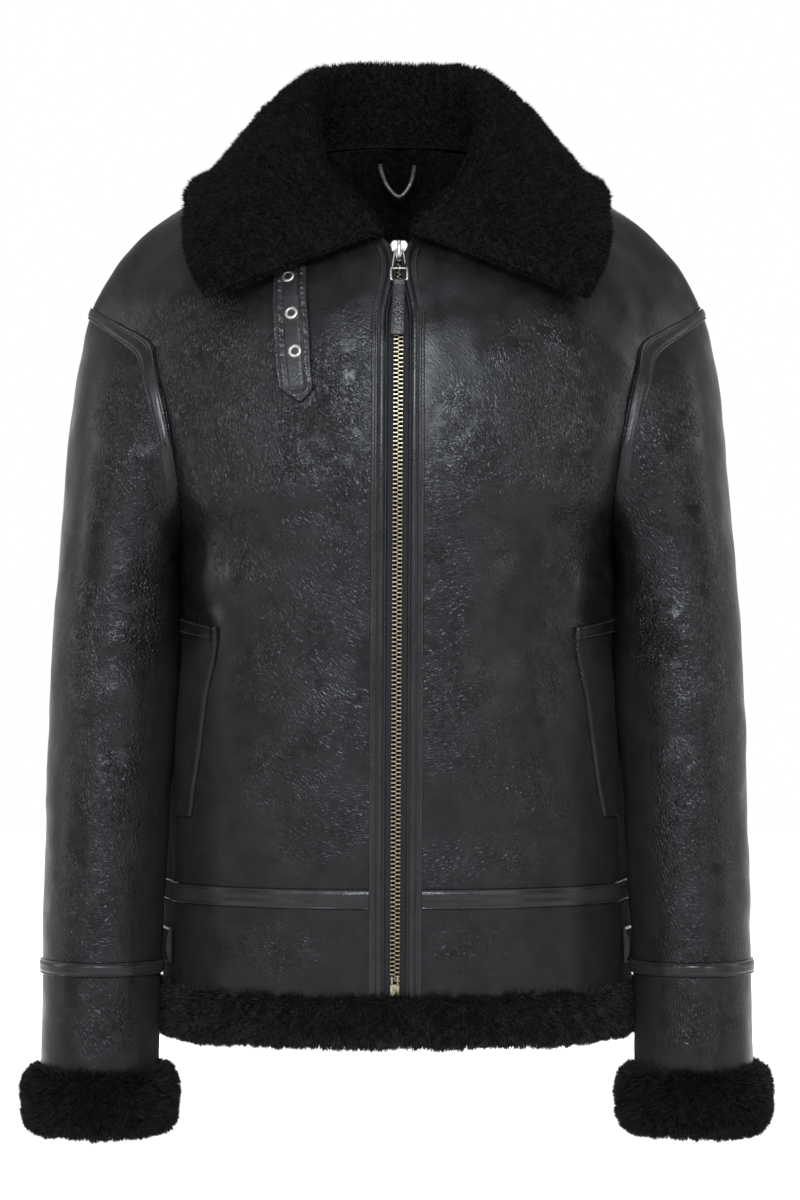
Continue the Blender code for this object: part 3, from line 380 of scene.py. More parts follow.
def ring_angle(p):
    """Where an armhole point sits round the sleeve: 0 outside, 90 degrees in front."""
    half = (ARM_P[9] - ARM_P[0]) / 2
    along = (p - ARM_C) @ unit(half) / np.linalg.norm(half)
    return np.arctan2(-p[..., 1] / 88.0, along)


def sleeve(w, s):
    """A point of the sleeve at +X: w picks the armhole point it starts from, s the tape distance down."""
    w, s = np.broadcast_arrays(np.asarray(w, float), np.asarray(s, float))
    hole = through(ARM_W, ARM_P, w)
    ox, oz, ix, iz, yc, depth, share = np.moveaxis(through(SLEEVE_S, SLEEVE_ROWS, s), -1, 0)
    share = np.clip(share, 0, 1)[..., None]
    a = ring_angle(hole)
    centre = np.stack([(ox + ix) / 2, yc, (oz + iz) / 2], axis=-1)
    arm = np.stack([(ox - ix) / 2, np.zeros_like(ox), (oz - iz) / 2], axis=-1)
    oval = centre + np.cos(a)[..., None] * arm
    oval[..., 1] -= np.sin(a) * depth
    return (1 - share) * oval + share * (hole + centre - ARM_C)


def sleeve_normal(w, s):
    w, s = np.broadcast_arrays(np.asarray(w, float), np.asarray(s, float))
    span = BACK_ARMPIT_W - ARMPIT_W

    def wrap(v):
        return ARMPIT_W + np.mod(v - ARMPIT_W, span)

    s0, s1 = np.clip(s - 1, 0, 612), np.clip(s + 1, 0, 612)
    across = sleeve(wrap(w + 3), s) - sleeve(wrap(w - 3), s)
    n = unit(np.cross(sleeve(w, s1) - sleeve(w, s0), across))
    return np.where((s < 0.01)[..., None], arm_normal(sleeve(w, s)), n)


COLLAR_S = np.array([row[1] for row in COLLAR], float)
COLLAR_ROWS = np.array([[*row[2], *row[3], *row[4], row[5], row[6]] for row in COLLAR], float)
FOLD_R = 3.0
STAND_T, FOLD_T = 0.25, 0.40  # the path's shares: stand up to the first, fold up to the second, fall to 1


def body_cloud():
    u, w = np.meshgrid(np.linspace(0, 1, 33), np.linspace(300, 1200, 181), indexing="ij")
    return body(u, w).reshape(-1, 3), body_normal(u, w).reshape(-1, 3)


CLOUD, CLOUD_N = body_cloud()


def lifted(p, gap):
    """Points moved out until they are a gap above the body."""
    q = p.reshape(-1, 3).copy()
    for start in range(0, len(q), 400):
        part = q[start : start + 400]
        at = np.argmin(((part[:, None] - CLOUD[None]) ** 2).sum(-1), axis=1)
        height = ((part - CLOUD[at]) * CLOUD_N[at]).sum(-1)
        q[start : start + 400] = part + np.maximum(gap - height, 0)[:, None] * CLOUD_N[at]
    return q.reshape(p.shape)


def collar_skin(s, t):
    """The leather side of the collar at +X: s from the front end to the centre back, t from the neck seam over the fold to the outer edge."""
    s, t = np.broadcast_arrays(np.asarray(s, float), np.asarray(t, float))
    row = through(COLLAR_S, COLLAR_ROWS, s)
    neck, fold, edge, plump = row[..., 0:3], row[..., 3:6], row[..., 6:9], row[..., 9]
    ahead = through(COLLAR_S, COLLAR_ROWS, np.clip(s + 0.05, 0, 8))[..., 3:6]
    behind = through(COLLAR_S, COLLAR_ROWS, np.clip(s - 0.05, 0, 8))[..., 3:6]
    along = unit(ahead - behind)
    rise = unit(fold - neck)
    inward = unit(np.cross(rise, along))
    fall = unit(edge - fold)
    outward = unit(np.cross(along, fall))
    outward *= np.sign((outward * (unit(edge - neck) + np.array([0, 0, 0.4]))).sum(-1))[..., None]
    inward *= -np.sign((inward * outward).sum(-1))[..., None]
    top = fold + FOLD_R * inward
    down = fold + FOLD_R * outward
    a = np.clip(t / STAND_T, 0, 1)[..., None]
    stand = neck + (top - neck) * a
    b = np.clip((t - STAND_T) / (FOLD_T - STAND_T), 0, 1)[..., None]
    up = unit(rise - fall * 0.6)
    turn = fold + FOLD_R * unit(
        inward * np.cos(b * math.pi / 2) ** 2 + outward * np.sin(b * math.pi / 2) ** 2 + up * np.sin(b * math.pi)
    )
    c = np.clip((t - FOLD_T) / (1 - FOLD_T), 0, 1)
    drop = down + (edge - down) * c[..., None] + outward * (plump * np.sin(math.pi * c**0.85))[..., None]
    out = np.where((t <= STAND_T)[..., None], stand, np.where((t <= FOLD_T)[..., None], turn, drop))
    loose = lifted(out, 4.5)
    return np.where((t > FOLD_T + 0.05)[..., None], loose, out)



# ---- noise, folds and the relief that every piece of leather shares --------------------
def lattice(seed):
    return np.random.default_rng(seed).uniform(-1, 1, (17, 17, 17))


def wander(p, size, seed):
    """Smooth unevenness: a value between about -1 and 1 that changes over a size in mm."""
    table = lattice(seed)
    q = np.asarray(p, float) / size + 500.0
    i = np.floor(q).astype(int)
    f = q - i
    f = f * f * (3 - 2 * f)
    total = 0.0
    for dx in (0, 1):
        for dy in (0, 1):
            for dz in (0, 1):
                weight = (
                    (f[..., 0] if dx else 1 - f[..., 0])
                    * (f[..., 1] if dy else 1 - f[..., 1])
                    * (f[..., 2] if dz else 1 - f[..., 2])
                )
                total = total + weight * table[(i[..., 0] + dx) % 17, (i[..., 1] + dy) % 17, (i[..., 2] + dz) % 17]
    return total


# Soft ridges (height above 0) and troughs (below 0), seen from the front or the back: where each
# starts and ends (x, z), how far its middle bows to its left, half width, height.
BODY_FOLDS = [
    ("pocket_top_out_r", "front", (-149, -346), (-172, -296), 3, 7, -1.6),
    ("pocket_top_in_r", "front", (-141, -344), (-124, -283), -4, 8, 1.7),
    ("pocket_top_mid_r", "front", (-146, -338), (-146, -280), 4, 6, 1.2),
    ("pocket_top_l", "front", (140, -338), (140, -222), 3, 8, 1.9),
    ("pocket_top_l_out", "front", (150, -336), (160, -268), -4, 7, -1.6),
    ("chest_side_r", "front", (-120, -90), (-132, -240), 8, 16, -2.0),
    ("chest_side_l", "front", (118, -84), (128, -232), -8, 16, -2.2),
    ("yoke_drag_r", "front", (-60, -70), (-150, -120), 6, 12, 1.4),
    ("yoke_drag_l", "front", (62, -72), (148, -112), -6, 12, 1.3),
    ("waist_slant_1", "front", (-126, -470), (-24, -392), 6, 13, 1.9),
    ("waist_slant_2", "front", (-120, -500), (-44, -446), 5, 11, -1.3),
    ("waist_slant_3", "front", (-102, -388), (-58, -316), 4, 10, 1.2),
    ("waist_slant_4", "front", (44, -432), (112, -496), 5, 13, 1.5),
    ("waist_slant_5", "front", (30, -330), (96, -372), -5, 14, -1.2),
    ("skirt_drop_r", "front", (-84, -520), (-92, -440), 3, 15, -1.3),
    ("skirt_drop_l", "front", (92, -530), (84, -440), 3, 16, -1.5),
    ("low_pull_r", "front", (-150, -538), (-112, -470), 5, 10, 1.4),
    ("low_pull_l", "front", (148, -536), (118, -468), -5, 11, 1.3),
    ("back_blade_r", "back", (-128, -100), (-142, -250), -8, 18, -2.2),
    ("back_blade_l", "back", (126, -104), (140, -246), 8, 18, -2.0),
    ("back_waist_1", "back", (-118, -430), (-8, -470), 10, 16, 1.7),
    ("back_waist_2", "back", (4, -402), (122, -444), -10, 17, 1.5),
    ("back_waist_3", "back", (-96, -330), (60, -352), 9, 18, -1.4),
    ("back_mid", "back", (-14, -120), (-6, -300), 4, 20, -1.2),
    ("back_low", "back", (40, -540), (56, -452), 3, 14, 1.2),
    ("back_drag_r", "back", (-150, -130), (-70, -190), 7, 12, 1.3),
    ("back_drag_l", "back", (148, -126), (84, -198), -7, 12, 1.2),
]
SLEEVE_FOLDS = [
    ("inner_elbow_a", "front", (188, -330), (232, -356), 4, 7, 1.5),
    ("inner_elbow_b", "front", (186, -362), (236, -372), 3, 6, -1.4),
    ("inner_elbow_c", "front", (190, -392), (246, -408), 4, 8, 1.6),
    ("inner_elbow_d", "front", (188, -428), (230, -432), 3, 7, -1.2),
    ("head_drag_a", "front", (206, -132), (232, -196), -5, 8, -1.5),
    ("head_drag_b", "front", (190, -168), (214, -262), -5, 10, 1.6),
    ("outer_long", "front", (262, -190), (268, -330), 3, 13, -1.3),
    ("fore_long", "front", (238, -450), (232, -590), 3, 14, 1.4),
    ("fore_slant", "front", (256, -500), (214, -560), 4, 10, -1.0),
    ("elbow_back_a", "back", (196, -352), (262, -372), 5, 10, 1.9),
    ("elbow_back_b", "back", (198, -392), (266, -398), -4, 9, -1.6),
    ("elbow_back_c", "back", (200, -430), (262, -446), 5, 11, 1.7),
    ("back_long", "back", (246, -170), (252, -320), 4, 14, -1.4),
    ("back_fore", "back", (228, -478), (240, -590), 3, 12, 1.1),
]


def near_curve(p, start, end, bow):
    """Distance in the front view from points to a bowed line, and the share along it."""
    a, b = np.array(start, float), np.array(end, float)
    way = b - a
    left = np.array([-way[1], way[0]]) / np.linalg.norm(way)
    q = p[..., [0, 2]] - a
    t = (q @ way) / (way @ way)
    tt = np.clip(t, 0, 1)
    line = tt[..., None] * way + (4 * bow * tt * (1 - tt))[..., None] * left
    return np.linalg.norm(q - line, axis=-1), t


def fold_height(p, table, mirror=1.0):
    """The folds' height at points. The other side of the jacket has them a little moved, so the two differ."""
    total = np.zeros(p.shape[:-1])
    for k, (_, face, start, end, bow, width, height) in enumerate(table):
        q = p * np.array([mirror, 1.0, 1.0])
        if mirror < 0:
            q = q + np.array([0, 0, 9.0 * math.sin(2.3 * k + 1)])
        far, t = near_curve(q, start, end, bow)
        taper = np.clip(1.15 - np.abs(2 * t - 1), 0, 1)
        taper = np.clip(taper / 0.55, 0, 1)
        taper = taper * taper * (3 - 2 * taper)
        facing = np.clip((-q[..., 1] if face == "front" else q[..., 1]) / 25.0 + (0.5 if table is SLEEVE_FOLDS else 0), 0, 1)
        size = width * (1 + 0.25 * math.sin(1.7 * k))
        total += height * taper * facing * np.exp(-0.5 * (far / size) ** 2)
    return total


def step(value, low, high):
    x = np.clip((np.asarray(value, float) - low) / (high - low), 0, 1)
    return x * x * (3 - 2 * x)


sharp_body = body


def body(u, w):
    """The half body with the change of course at the armpit's level eased, away from the seams."""
    u, w = np.broadcast_arrays(np.asarray(u, float), np.asarray(w, float))
    p = sharp_body(u, w)
    off = np.minimum(np.abs(w - ARMPIT_W), np.abs(w - BACK_ARMPIT_W))
    amount = (1 - step(off, 10, 40)) * (1 - step(u, 0.90, 0.985))
    if not np.any(amount > 0):
        return p
    eased = sum(k * sharp_body(u, w + d) for k, d in ((0.10, -27), (0.15, -18), (0.16, -9), (0.18, 0), (0.16, 9), (0.15, 18), (0.10, 27)))
    return p + amount[..., None] * (eased - p)


def side_touch(p, z_low=-338.0, z_high=-262.0):
    """Where the upper arm rests on the body, both sides swell until they meet."""
    z = p[..., 2]
    return step(z, z_low - 26, z_low + 14) * (1 - step(z, z_high - 12, z_high + 8))


def body_relief(p, w):
    """Folds and slow unevenness of the body's leather: nothing at the seams that other pieces cover."""
    up = np.where(w > SHOULDER_W, BACK_HEM_W - w, w)
    quiet = step(np.abs(up - (WAIST_SEAM_Z - HEM_Z)), 6, 40)
    quiet = quiet * step(np.abs(p[..., 0]), PLACKET_OUT + 1, PLACKET_OUT + 30) ** np.where(w > SHOULDER_W, 0.0, 1.0)
    slow = 1.1 * wander(p, 46, 3) + 0.7 * wander(p, 23, 4)
    meet = 2.2 * side_touch(p) * step(np.abs(p[..., 0]), 160, 174)
    return quiet * (fold_height(p, BODY_FOLDS) + slow) + 0.25 * wander(p, 12, 5) + meet


def sleeve_relief(p, s, side):
    quiet = step(s, 4, 46) * step(np.abs(s - 528.0), 6, 34)
    slow = 0.9 * wander(p, 42, 13 if side > 0 else 17) + 0.6 * wander(p, 20, 14)
    shown = fold_height(p, SLEEVE_FOLDS, side)
    meet = 2.0 * side_touch(p) * (1 - step(np.abs(p[..., 0]), 186, 200))
    return quiet * (shown + slow) + 0.2 * wander(p, 12, 15) + meet


def on_body(u, w, side, height=0.0, lean_in=True, relief=True):
    """A point a height above the body's leather, and its normal."""
    u, w = np.broadcast_arrays(np.asarray(u, float), np.asarray(w, float))
    p, n = body(u, w), body_normal(u, w)
    front = w < SHOULDER_W
    leaning = sided(p, side, True, u) if lean_in else sided(p, side)
    p = np.where(front[..., None], leaning, sided(p, side))
    n = n * np.array([side, 1.0, 1.0])
    extra = body_relief(p, w) if relief else 0.0
    return p + (height + extra)[..., None] * n if np.ndim(height + extra) else p + (height + extra) * n, n


def on_sleeve(w, s, side, height=0.0):
    w, s = np.broadcast_arrays(np.asarray(w, float), np.asarray(s, float))
    p, n = sleeve(w, s), sleeve_normal(w, s)
    p, n = p * np.array([side, 1.0, 1.0]), n * np.array([side, 1.0, 1.0])
    total = height + sleeve_relief(p, s, side)
    return p + np.asarray(total)[..., None] * n, n


# ---- meshes ------------------------------------------------------------------------------
def build_mesh(name, points, faces, materials, picks=None, values=None, smooth=True, sharp=None):
    """An object from points in mm and a list of arrays of faces. values holds named numbers for each point."""
    points = np.asarray(points, np.float32) * MM
    faces = [np.asarray(f, np.int32) for f in faces if len(f)]
    mesh = bpy.data.meshes.new(name)
    mesh.vertices.add(len(points))
    mesh.vertices.foreach_set("co", points.ravel())
    loops = np.concatenate([f.ravel() for f in faces])
    counts = np.concatenate([np.full(len(f), f.shape[1], np.int32) for f in faces])
    starts = np.concatenate([[0], np.cumsum(counts)[:-1]]).astype(np.int32)
    mesh.loops.add(len(loops))
    mesh.loops.foreach_set("vertex_index", loops.astype(np.int32))
    mesh.polygons.add(len(counts))
    mesh.polygons.foreach_set("loop_start", starts)
    for m in materials:
        mesh.materials.append(m)
    if picks is not None:
        mesh.polygons.foreach_set("material_index", np.asarray(picks, np.int32))
    mesh.update(calc_edges=True)
    mesh.validate()
    for key, value in (values or {}).items():
        made = mesh.attributes.new(key, "FLOAT", "POINT")
        made.data.foreach_set("value", np.asarray(value, np.float32).ravel())
    if smooth:
        mesh.shade_smooth()
        if sharp is not None:
            mesh.set_sharp_from_angle(angle=math.radians(sharp))
    made = bpy.data.objects.new(name, mesh)
    scene.collection.objects.link(made)
    return made


def grid_quads(nu, nv, closed=False, base=0):
    i, j = np.meshgrid(np.arange(nu if closed else nu - 1), np.arange(nv - 1), indexing="ij")
    k = (i + 1) % nu
    return base + np.stack([i * nv + j, k * nv + j, k * nv + j + 1, i * nv + j + 1], axis=-1).reshape(-1, 4)


def rim_of(quads):
    """The quads' border as directed edges."""
    edges = np.concatenate([quads[:, [k, (k + 1) % 4]] for k in range(4)])
    code = edges[:, 0].astype(np.int64) * 10_000_000 + edges[:, 1]
    back = edges[:, 1].astype(np.int64) * 10_000_000 + edges[:, 0]
    return edges[~np.isin(code, back)]


def facing(points, quads, normals):
    """The quads turned so that they face along the points' normals."""
    a, b, c, d = (points[quads[:, k]] for k in range(4))
    n = np.cross(c - a, d - b)
    if (n * normals[quads[:, 0]]).sum() < 0:
        return quads[:, ::-1]
    return quads


def two_layers(name, outer, inner, normals, quads, materials, picks=(0, 0, 0), values=None, sharp=None):
    """A closed piece: outer layer, inner layer, and the rim between them. picks: each one's material."""
    quads = facing(outer, quads, normals)
    n = len(outer)
    rims = rim_of(quads)
    rim = np.stack([rims[:, 1], rims[:, 0], rims[:, 0] + n, rims[:, 1] + n], axis=-1)
    points = np.concatenate([outer, inner])
    faces = np.concatenate([quads, quads[:, ::-1] + n, rim])
    picked = np.concatenate([np.full(len(quads), picks[0]), np.full(len(quads), picks[1]), np.full(len(rim), picks[2])])
    doubled = {k: np.concatenate([v, v]) for k, v in (values or {}).items()}
    return build_mesh(name, points, [faces], materials, picked, doubled, sharp=sharp)


def stops(low, high, pitch, fine=()):
    """Values from low to high about a pitch apart, and finer ones beside the ends and the named places."""
    span = high - low
    base = np.linspace(low, high, max(2, int(round(abs(span) / pitch)) + 1))
    extra = []
    for place, gaps in fine:
        for g in gaps:
            for v in (place - g, place + g):
                if low < v < high:
                    extra.append(v)
    every = np.unique(np.round(np.concatenate([base, extra]), 4)) if extra else base
    keep = [every[0]]
    for v in every[1:]:
        if v - keep[-1] > 0.35 * min(pitch, 1.0) or v == every[-1]:
            keep.append(v)
    return np.array(keep)


def seam_dip(distance, deep=1.3, wide=1.7):
    return -deep * np.exp(-((distance / wide) ** 2))


# ---- where the leather is creased -------------------------------------------------------
# Patches of close creases, seen from the front or back: middle x z, half width, half height,
# tilt in degrees, strength, and which way its creases run.
PATCHES = [
    ("front", (-152, -150), (46, 62), 8, 1.0, "up"),
    ("front", (-128, -226), (34, 66), 6, 0.8, "up"),
    ("front", (-96, -150), (24, 40), 0, 0.6, "up"),
    ("front", (-62, -190), (34, 70), -22, 0.9, "slant"),
    ("front", (-40, -250), (22, 60), -14, 0.8, "up"),
    ("front", (-74, -352), (34, 52), -40, 0.9, "slant"),
    ("front", (-72, -436), (62, 24), 38, 1.0, "slant"),
    ("front", (-106, -300), (26, 34), 0, 0.5, "up"),
    ("front", (-46, -490), (46, 26), 20, 0.7, "flat"),
    ("front", (112, -170), (34, 64), -6, 0.8, "up"),
    ("front", (134, -240), (24, 66), 0, 0.9, "up"),
    ("front", (66, -214), (30, 60), 12, 0.7, "slant"),
    ("front", (34, -292), (22, 70), 0, 0.8, "flat"),
    ("front", (42, -392), (26, 54), 0, 0.9, "flat"),
    ("front", (86, -458), (54, 26), -34, 0.9, "slant"),
    ("front", (128, -372), (28, 50), 0, 0.6, "slant"),
    ("front", (64, -520), (60, 20), 0, 0.6, "flat"),
    ("front", (-104, -590), (52, 20), 0, 0.5, "flat"),
    ("front", (60, -588), (44, 22), 0, 0.7, "slant"),
    ("front", (-206, -210), (30, 80), 0, 0.8, "slant"),
    ("front", (-200, -330), (28, 60), 0, 1.0, "flat"),
    ("front", (-246, -380), (24, 80), 0, 0.6, "up"),
    ("front", (-212, -470), (34, 70), 10, 0.9, "slant"),
    ("front", (-240, -560), (30, 44), 0, 0.7, "flat"),
    ("front", (-226, -650), (30, 30), 0, 0.7, "slant"),
    ("front", (206, -230), (30, 80), 0, 0.8, "slant"),
    ("front", (204, -350), (30, 56), 0, 1.0, "flat"),
    ("front", (250, -360), (22, 90), 0, 0.6, "up"),
    ("front", (224, -500), (36, 80), -10, 0.9, "slant"),
    ("front", (236, -586), (28, 34), 0, 0.8, "flat"),
    ("front", (232, -648), (30, 32), 0, 0.7, "up"),
    ("back", (-120, -170), (50, 80), 8, 0.9, "up"),
    ("back", (110, -190), (48, 84), -8, 0.9, "up"),
    ("back", (-40, -260), (60, 60), 20, 0.7, "slant"),
    ("back", (46, -350), (64, 50), -24, 0.8, "slant"),
    ("back", (-70, -440), (70, 34), 14, 0.9, "flat"),
    ("back", (90, -480), (60, 34), -12, 0.8, "flat"),
    ("back", (0, -110), (60, 40), 0, 0.5, "flat"),
    ("back", (-10, -590), (90, 22), 0, 0.6, "slant"),
    ("back", (-226, -380), (40, 60), 0, 1.0, "flat"),
    ("back", (226, -400), (40, 64), 0, 1.0, "flat"),
    ("back", (-222, -210), (36, 70), 0, 0.7, "slant"),
    ("back", (224, -230), (36, 70), 0, 0.7, "slant"),
    ("back", (-228, -540), (36, 50), 0, 0.7, "up"),
    ("back", (228, -556), (36, 50), 0, 0.7, "up"),
]


def creases(p):
    """How strongly the leather is creased upright, slanting and level at points."""
    found = {"crease_up": 0.0, "crease_slant": 0.0, "crease_flat": 0.0}
    for face, middle, half, tilt, strength, way in PATCHES:
        a = math.radians(tilt)
        dx, dz = p[..., 0] - middle[0], p[..., 2] - middle[1]
        x = (dx * math.cos(a) + dz * math.sin(a)) / half[0]
        z = (-dx * math.sin(a) + dz * math.cos(a)) / half[1]
        side = step(-p[..., 1] if face == "front" else p[..., 1], -30, 20)
        amount = strength * side * np.exp(-1.1 * (x * x + z * z))
        found["crease_" + way] = np.maximum(found["crease_" + way], amount)
    return {k: v + np.zeros(p.shape[:-1]) for k, v in found.items()}


# ---- materials ---------------------------------------------------------------------------
class Graph:
    """A material's nodes, by short calls: an input takes a number, a tuple or another node's output."""

    def __init__(self, name):
        self.made = bpy.data.materials.new(name)
        self.made.use_nodes = True
        self.tree = self.made.node_tree
        self.shader = self.tree.nodes["Principled BSDF"]

    def node(self, kind, inputs=(), **settings):
        made = self.tree.nodes.new(kind)
        for key, value in settings.items():
            setattr(made, key, value)
        for key, value in dict(inputs).items():
            self.put(made.inputs[key], value)
        return made

    def put(self, socket, value):
        if isinstance(value, bpy.types.NodeSocket):
            self.tree.links.new(value, socket)
        else:
            socket.default_value = value

    def maths(self, operation, a, b=0.0, c=0.0, clamp=False):
        made = self.tree.nodes.new("ShaderNodeMath")
        made.operation = operation
        made.use_clamp = clamp
        for socket, value in zip(made.inputs, (a, b, c)):
            self.put(socket, value)
        return made.outputs[0]

    def vector(self, operation, a, b=(0, 0, 0), scale=None):
        made = self.tree.nodes.new("ShaderNodeVectorMath")
        made.operation = operation
        self.put(made.inputs[0], a)
        self.put(made.inputs[1], b)
        if scale is not None:
            self.put(made.inputs["Scale"], scale)
        return made.outputs[0]

    def place_mm(self):
        """The piece's own place in mm."""
        coords = self.node("ShaderNodeTexCoord")
        return self.vector("SCALE", coords.outputs["Object"], scale=1000.0)

    def noise(self, at, size, detail=2.0, rough=0.5, colour=False):
        made = self.node("ShaderNodeTexNoise", {"Vector": at, "Scale": 1.0 / size, "Detail": detail, "Roughness": rough})
        return made.outputs["Color" if colour else 0]

    def cells(self, at, size, feature="F1"):
        made = self.node("ShaderNodeTexVoronoi", {"Vector": at, "Scale": 1.0 / size}, feature=feature)
        return made.outputs["Distance"]

    def ranged(self, value, low, high, to_low=0.0, to_high=1.0, smooth=True):
        made = self.node("ShaderNodeMapRange")
        made.interpolation_type = "SMOOTHSTEP" if smooth else "LINEAR"
        for key, v in (("Value", value), ("From Min", low), ("From Max", high), ("To Min", to_low), ("To Max", to_high)):
            self.put(made.inputs[key], v)
        return made.outputs[0]

    def blend(self, share, a, b):
        made = self.node("ShaderNodeMix", data_type="RGBA")
        self.put(made.inputs["Factor"], share)
        self.put(made.inputs["A"], a)
        self.put(made.inputs["B"], b)
        return made.outputs["Result"]

    def number(self, name):
        return self.node("ShaderNodeAttribute", attribute_name=name, attribute_type="GEOMETRY").outputs["Fac"]

    def bump(self, height_mm, strength=1.0):
        """Relief given in mm."""
        made = self.node("ShaderNodeBump", {"Strength": strength, "Distance": 0.001, "Height": height_mm})
        self.tree.links.new(made.outputs[0], self.shader.inputs["Normal"])

    def finish(self, **inputs):
        for key, value in inputs.items():
            self.put(self.shader.inputs[key.replace("_", " ")], value)
        return self.made


def leather(name, dark, light, rough, creased=True, grain=0.045, pebble=1.15, shine=0.13):
    g = Graph(name)
    at = g.place_mm()
    drift = g.vector("SCALE", g.vector("SUBTRACT", g.noise(at, 7.0, 2.0, 0.5, colour=True), (0.5, 0.5, 0.5)), scale=3.4)
    moved = g.vector("ADD", at, drift)
    fine = g.cells(moved, pebble)
    patchy = g.ranged(g.noise(at, 26.0, 3.0, 0.6), 0.36, 0.62)
    height = g.maths("MULTIPLY", fine, g.maths("MULTIPLY_ADD", patchy, grain, grain * 0.45))
    height = g.maths("MULTIPLY_ADD", g.noise(at, 0.45, 2.0, 0.6), 0.016, height)
    height = g.maths("MULTIPLY_ADD", g.noise(at, 9.0, 2.0, 0.5), 0.19, height)
    roughness = g.ranged(g.noise(at, 34.0, 3.0, 0.55), 0.3, 0.7, rough - 0.06, rough + 0.08)
    if creased:
        ways = {
            "crease_up": ((0, 6, 0), (1 / 2.1, 1 / 2.1, 1 / 8.5)),
            "crease_slant": ((0, 40, 0), (1 / 2.3, 1 / 2.3, 1 / 8.0)),
            "crease_flat": ((0, 84, 0), (1 / 2.2, 1 / 2.2, 1 / 7.5)),
        }
        for k, (key, (turn, size)) in enumerate(ways.items()):
            turned = g.node("ShaderNodeMapping", {"Vector": moved, "Rotation": tuple(math.radians(v) for v in turn), "Scale": (1, 1, 1)})
            stretched = g.vector("MULTIPLY", turned.outputs[0], size)
            edge = g.cells(stretched, 1.0, "DISTANCE_TO_EDGE")
            plump = g.ranged(edge, 0.0, 0.30)
            broken = g.ranged(g.noise(g.vector("ADD", at, (31.0 * k, 0, 7.0)), 13.0, 3.0, 0.6), 0.33, 0.56)
            amount = g.maths("MULTIPLY", g.number(key), broken)
            height = g.maths("MULTIPLY_ADD", plump, g.maths("MULTIPLY", amount, 0.85), height)
    tone = g.ranged(g.noise(at, 18.0, 4.0, 0.6), 0.3, 0.7)
    # colour follows the grain's height: lighter on its raised ridges, darker in its pits
    grain_ridges = g.ranged(fine, 0.1, 0.75)
    tone = g.maths("MULTIPLY_ADD", grain_ridges, 0.25, g.maths("MULTIPLY", tone, 0.75))
    g.bump(height)
    # where the sleeve rests against the side, the leather is rubbed dull
    spot = g.node("ShaderNodeSeparateXYZ", {"Vector": at})
    faced = g.node("ShaderNodeSeparateXYZ", {"Vector": g.node("ShaderNodeNewGeometry").outputs["True Normal"]})
    rubbed = g.ranged(g.maths("ABSOLUTE", faced.outputs[0]), 0.55, 0.85)
    rubbed = g.maths("MULTIPLY", rubbed, g.ranged(g.maths("ABSOLUTE", spot.outputs[0]), 222.0, 238.0, 1.0, 0.0))
    rubbed = g.maths("MULTIPLY", rubbed, g.ranged(spot.outputs[2], -400.0, -330.0, 1.0, 0.0))
    roughness = g.maths("MULTIPLY_ADD", rubbed, g.maths("SUBTRACT", 0.96, roughness), roughness)
    return g.finish(Base_Color=g.blend(tone, (*dark, 1), (*light, 1)), Roughness=roughness, Specular_IOR_Level=shine)


def pile(name, dark, light, clump=5.0):
    """Sheared fur, as a surface: the blades above it carry the look where it shows close."""
    g = Graph(name)
    at = g.place_mm()
    lumps = g.noise(at, clump, 4.0, 0.7)
    hair = g.noise(g.vector("MULTIPLY", at, (1.6, 1.6, 0.7)), 0.9, 2.0, 0.7)
    height = g.maths("MULTIPLY_ADD", lumps, 2.2, g.maths("MULTIPLY", hair, 0.8))
    g.bump(height, 0.9)
    shade = g.maths("MULTIPLY", g.ranged(lumps, 0.3, 0.7), g.ranged(hair, 0.2, 0.8, 0.35, 1.0))
    return g.finish(Base_Color=g.blend(shade, (*dark, 1), (*light, 1)), Roughness=0.95, Specular_IOR_Level=0.08)


def fur(name, root, tip, shine=0.10):
    g = Graph(name)
    at = g.place_mm()
    along = g.number("tip")
    own = g.number("own")
    shade = g.maths("MULTIPLY", g.ranged(along, 0.1, 1.0), g.maths("MULTIPLY_ADD", own, 0.7, 0.3))
    patch = g.ranged(g.noise(at, 11.0, 3.0, 0.6), 0.3, 0.7, 0.45, 1.0)
    shade = g.maths("MULTIPLY", shade, patch)
    return g.finish(Base_Color=g.blend(shade, (*root, 1), (*tip, 1)), Roughness=0.66, Specular_IOR_Level=shine)


def metal(name, colour, shade, rough, scratch):
    g = Graph(name)
    at = g.place_mm()
    tarnish = g.ranged(g.noise(at, 1.7, 4.0, 0.65), 0.35, 0.7)
    line = g.noise(g.vector("MULTIPLY", at, (6.0, 6.0, 0.7)), 0.6, 2.0, 0.6)
    g.bump(g.maths("MULTIPLY", line, scratch), 1.0)
    return g.finish(
        Base_Color=g.blend(tarnish, (*colour, 1), (*shade, 1)), Metallic=1.0, Roughness=g.ranged(line, 0.3, 0.7, rough - 0.05, rough + 0.1)
    )


def woven(name, dark, light, size):
    g = Graph(name)
    at = g.place_mm()
    warp = g.node("ShaderNodeTexWave", {"Vector": at, "Scale": 0.31 / size, "Distortion": 0.6, "Detail": 1.0}, wave_type="BANDS", bands_direction="DIAGONAL")
    weft = g.node("ShaderNodeTexWave", {"Vector": at, "Scale": 0.31 / size, "Distortion": 0.4, "Detail": 1.0}, wave_type="BANDS", bands_direction="Z")
    height = g.maths("MULTIPLY", warp.outputs["Fac"], weft.outputs["Fac"])
    g.bump(g.maths("MULTIPLY", height, 0.14), 1.0)
    fuzz = g.noise(at, 3.0, 3.0, 0.6)
    shade = g.maths("MULTIPLY", height, g.ranged(fuzz, 0.2, 0.8, 0.6, 1.0))
    return g.finish(Base_Color=g.blend(shade, (*dark, 1), (*light, 1)), Roughness=0.85, Specular_IOR_Level=0.2)


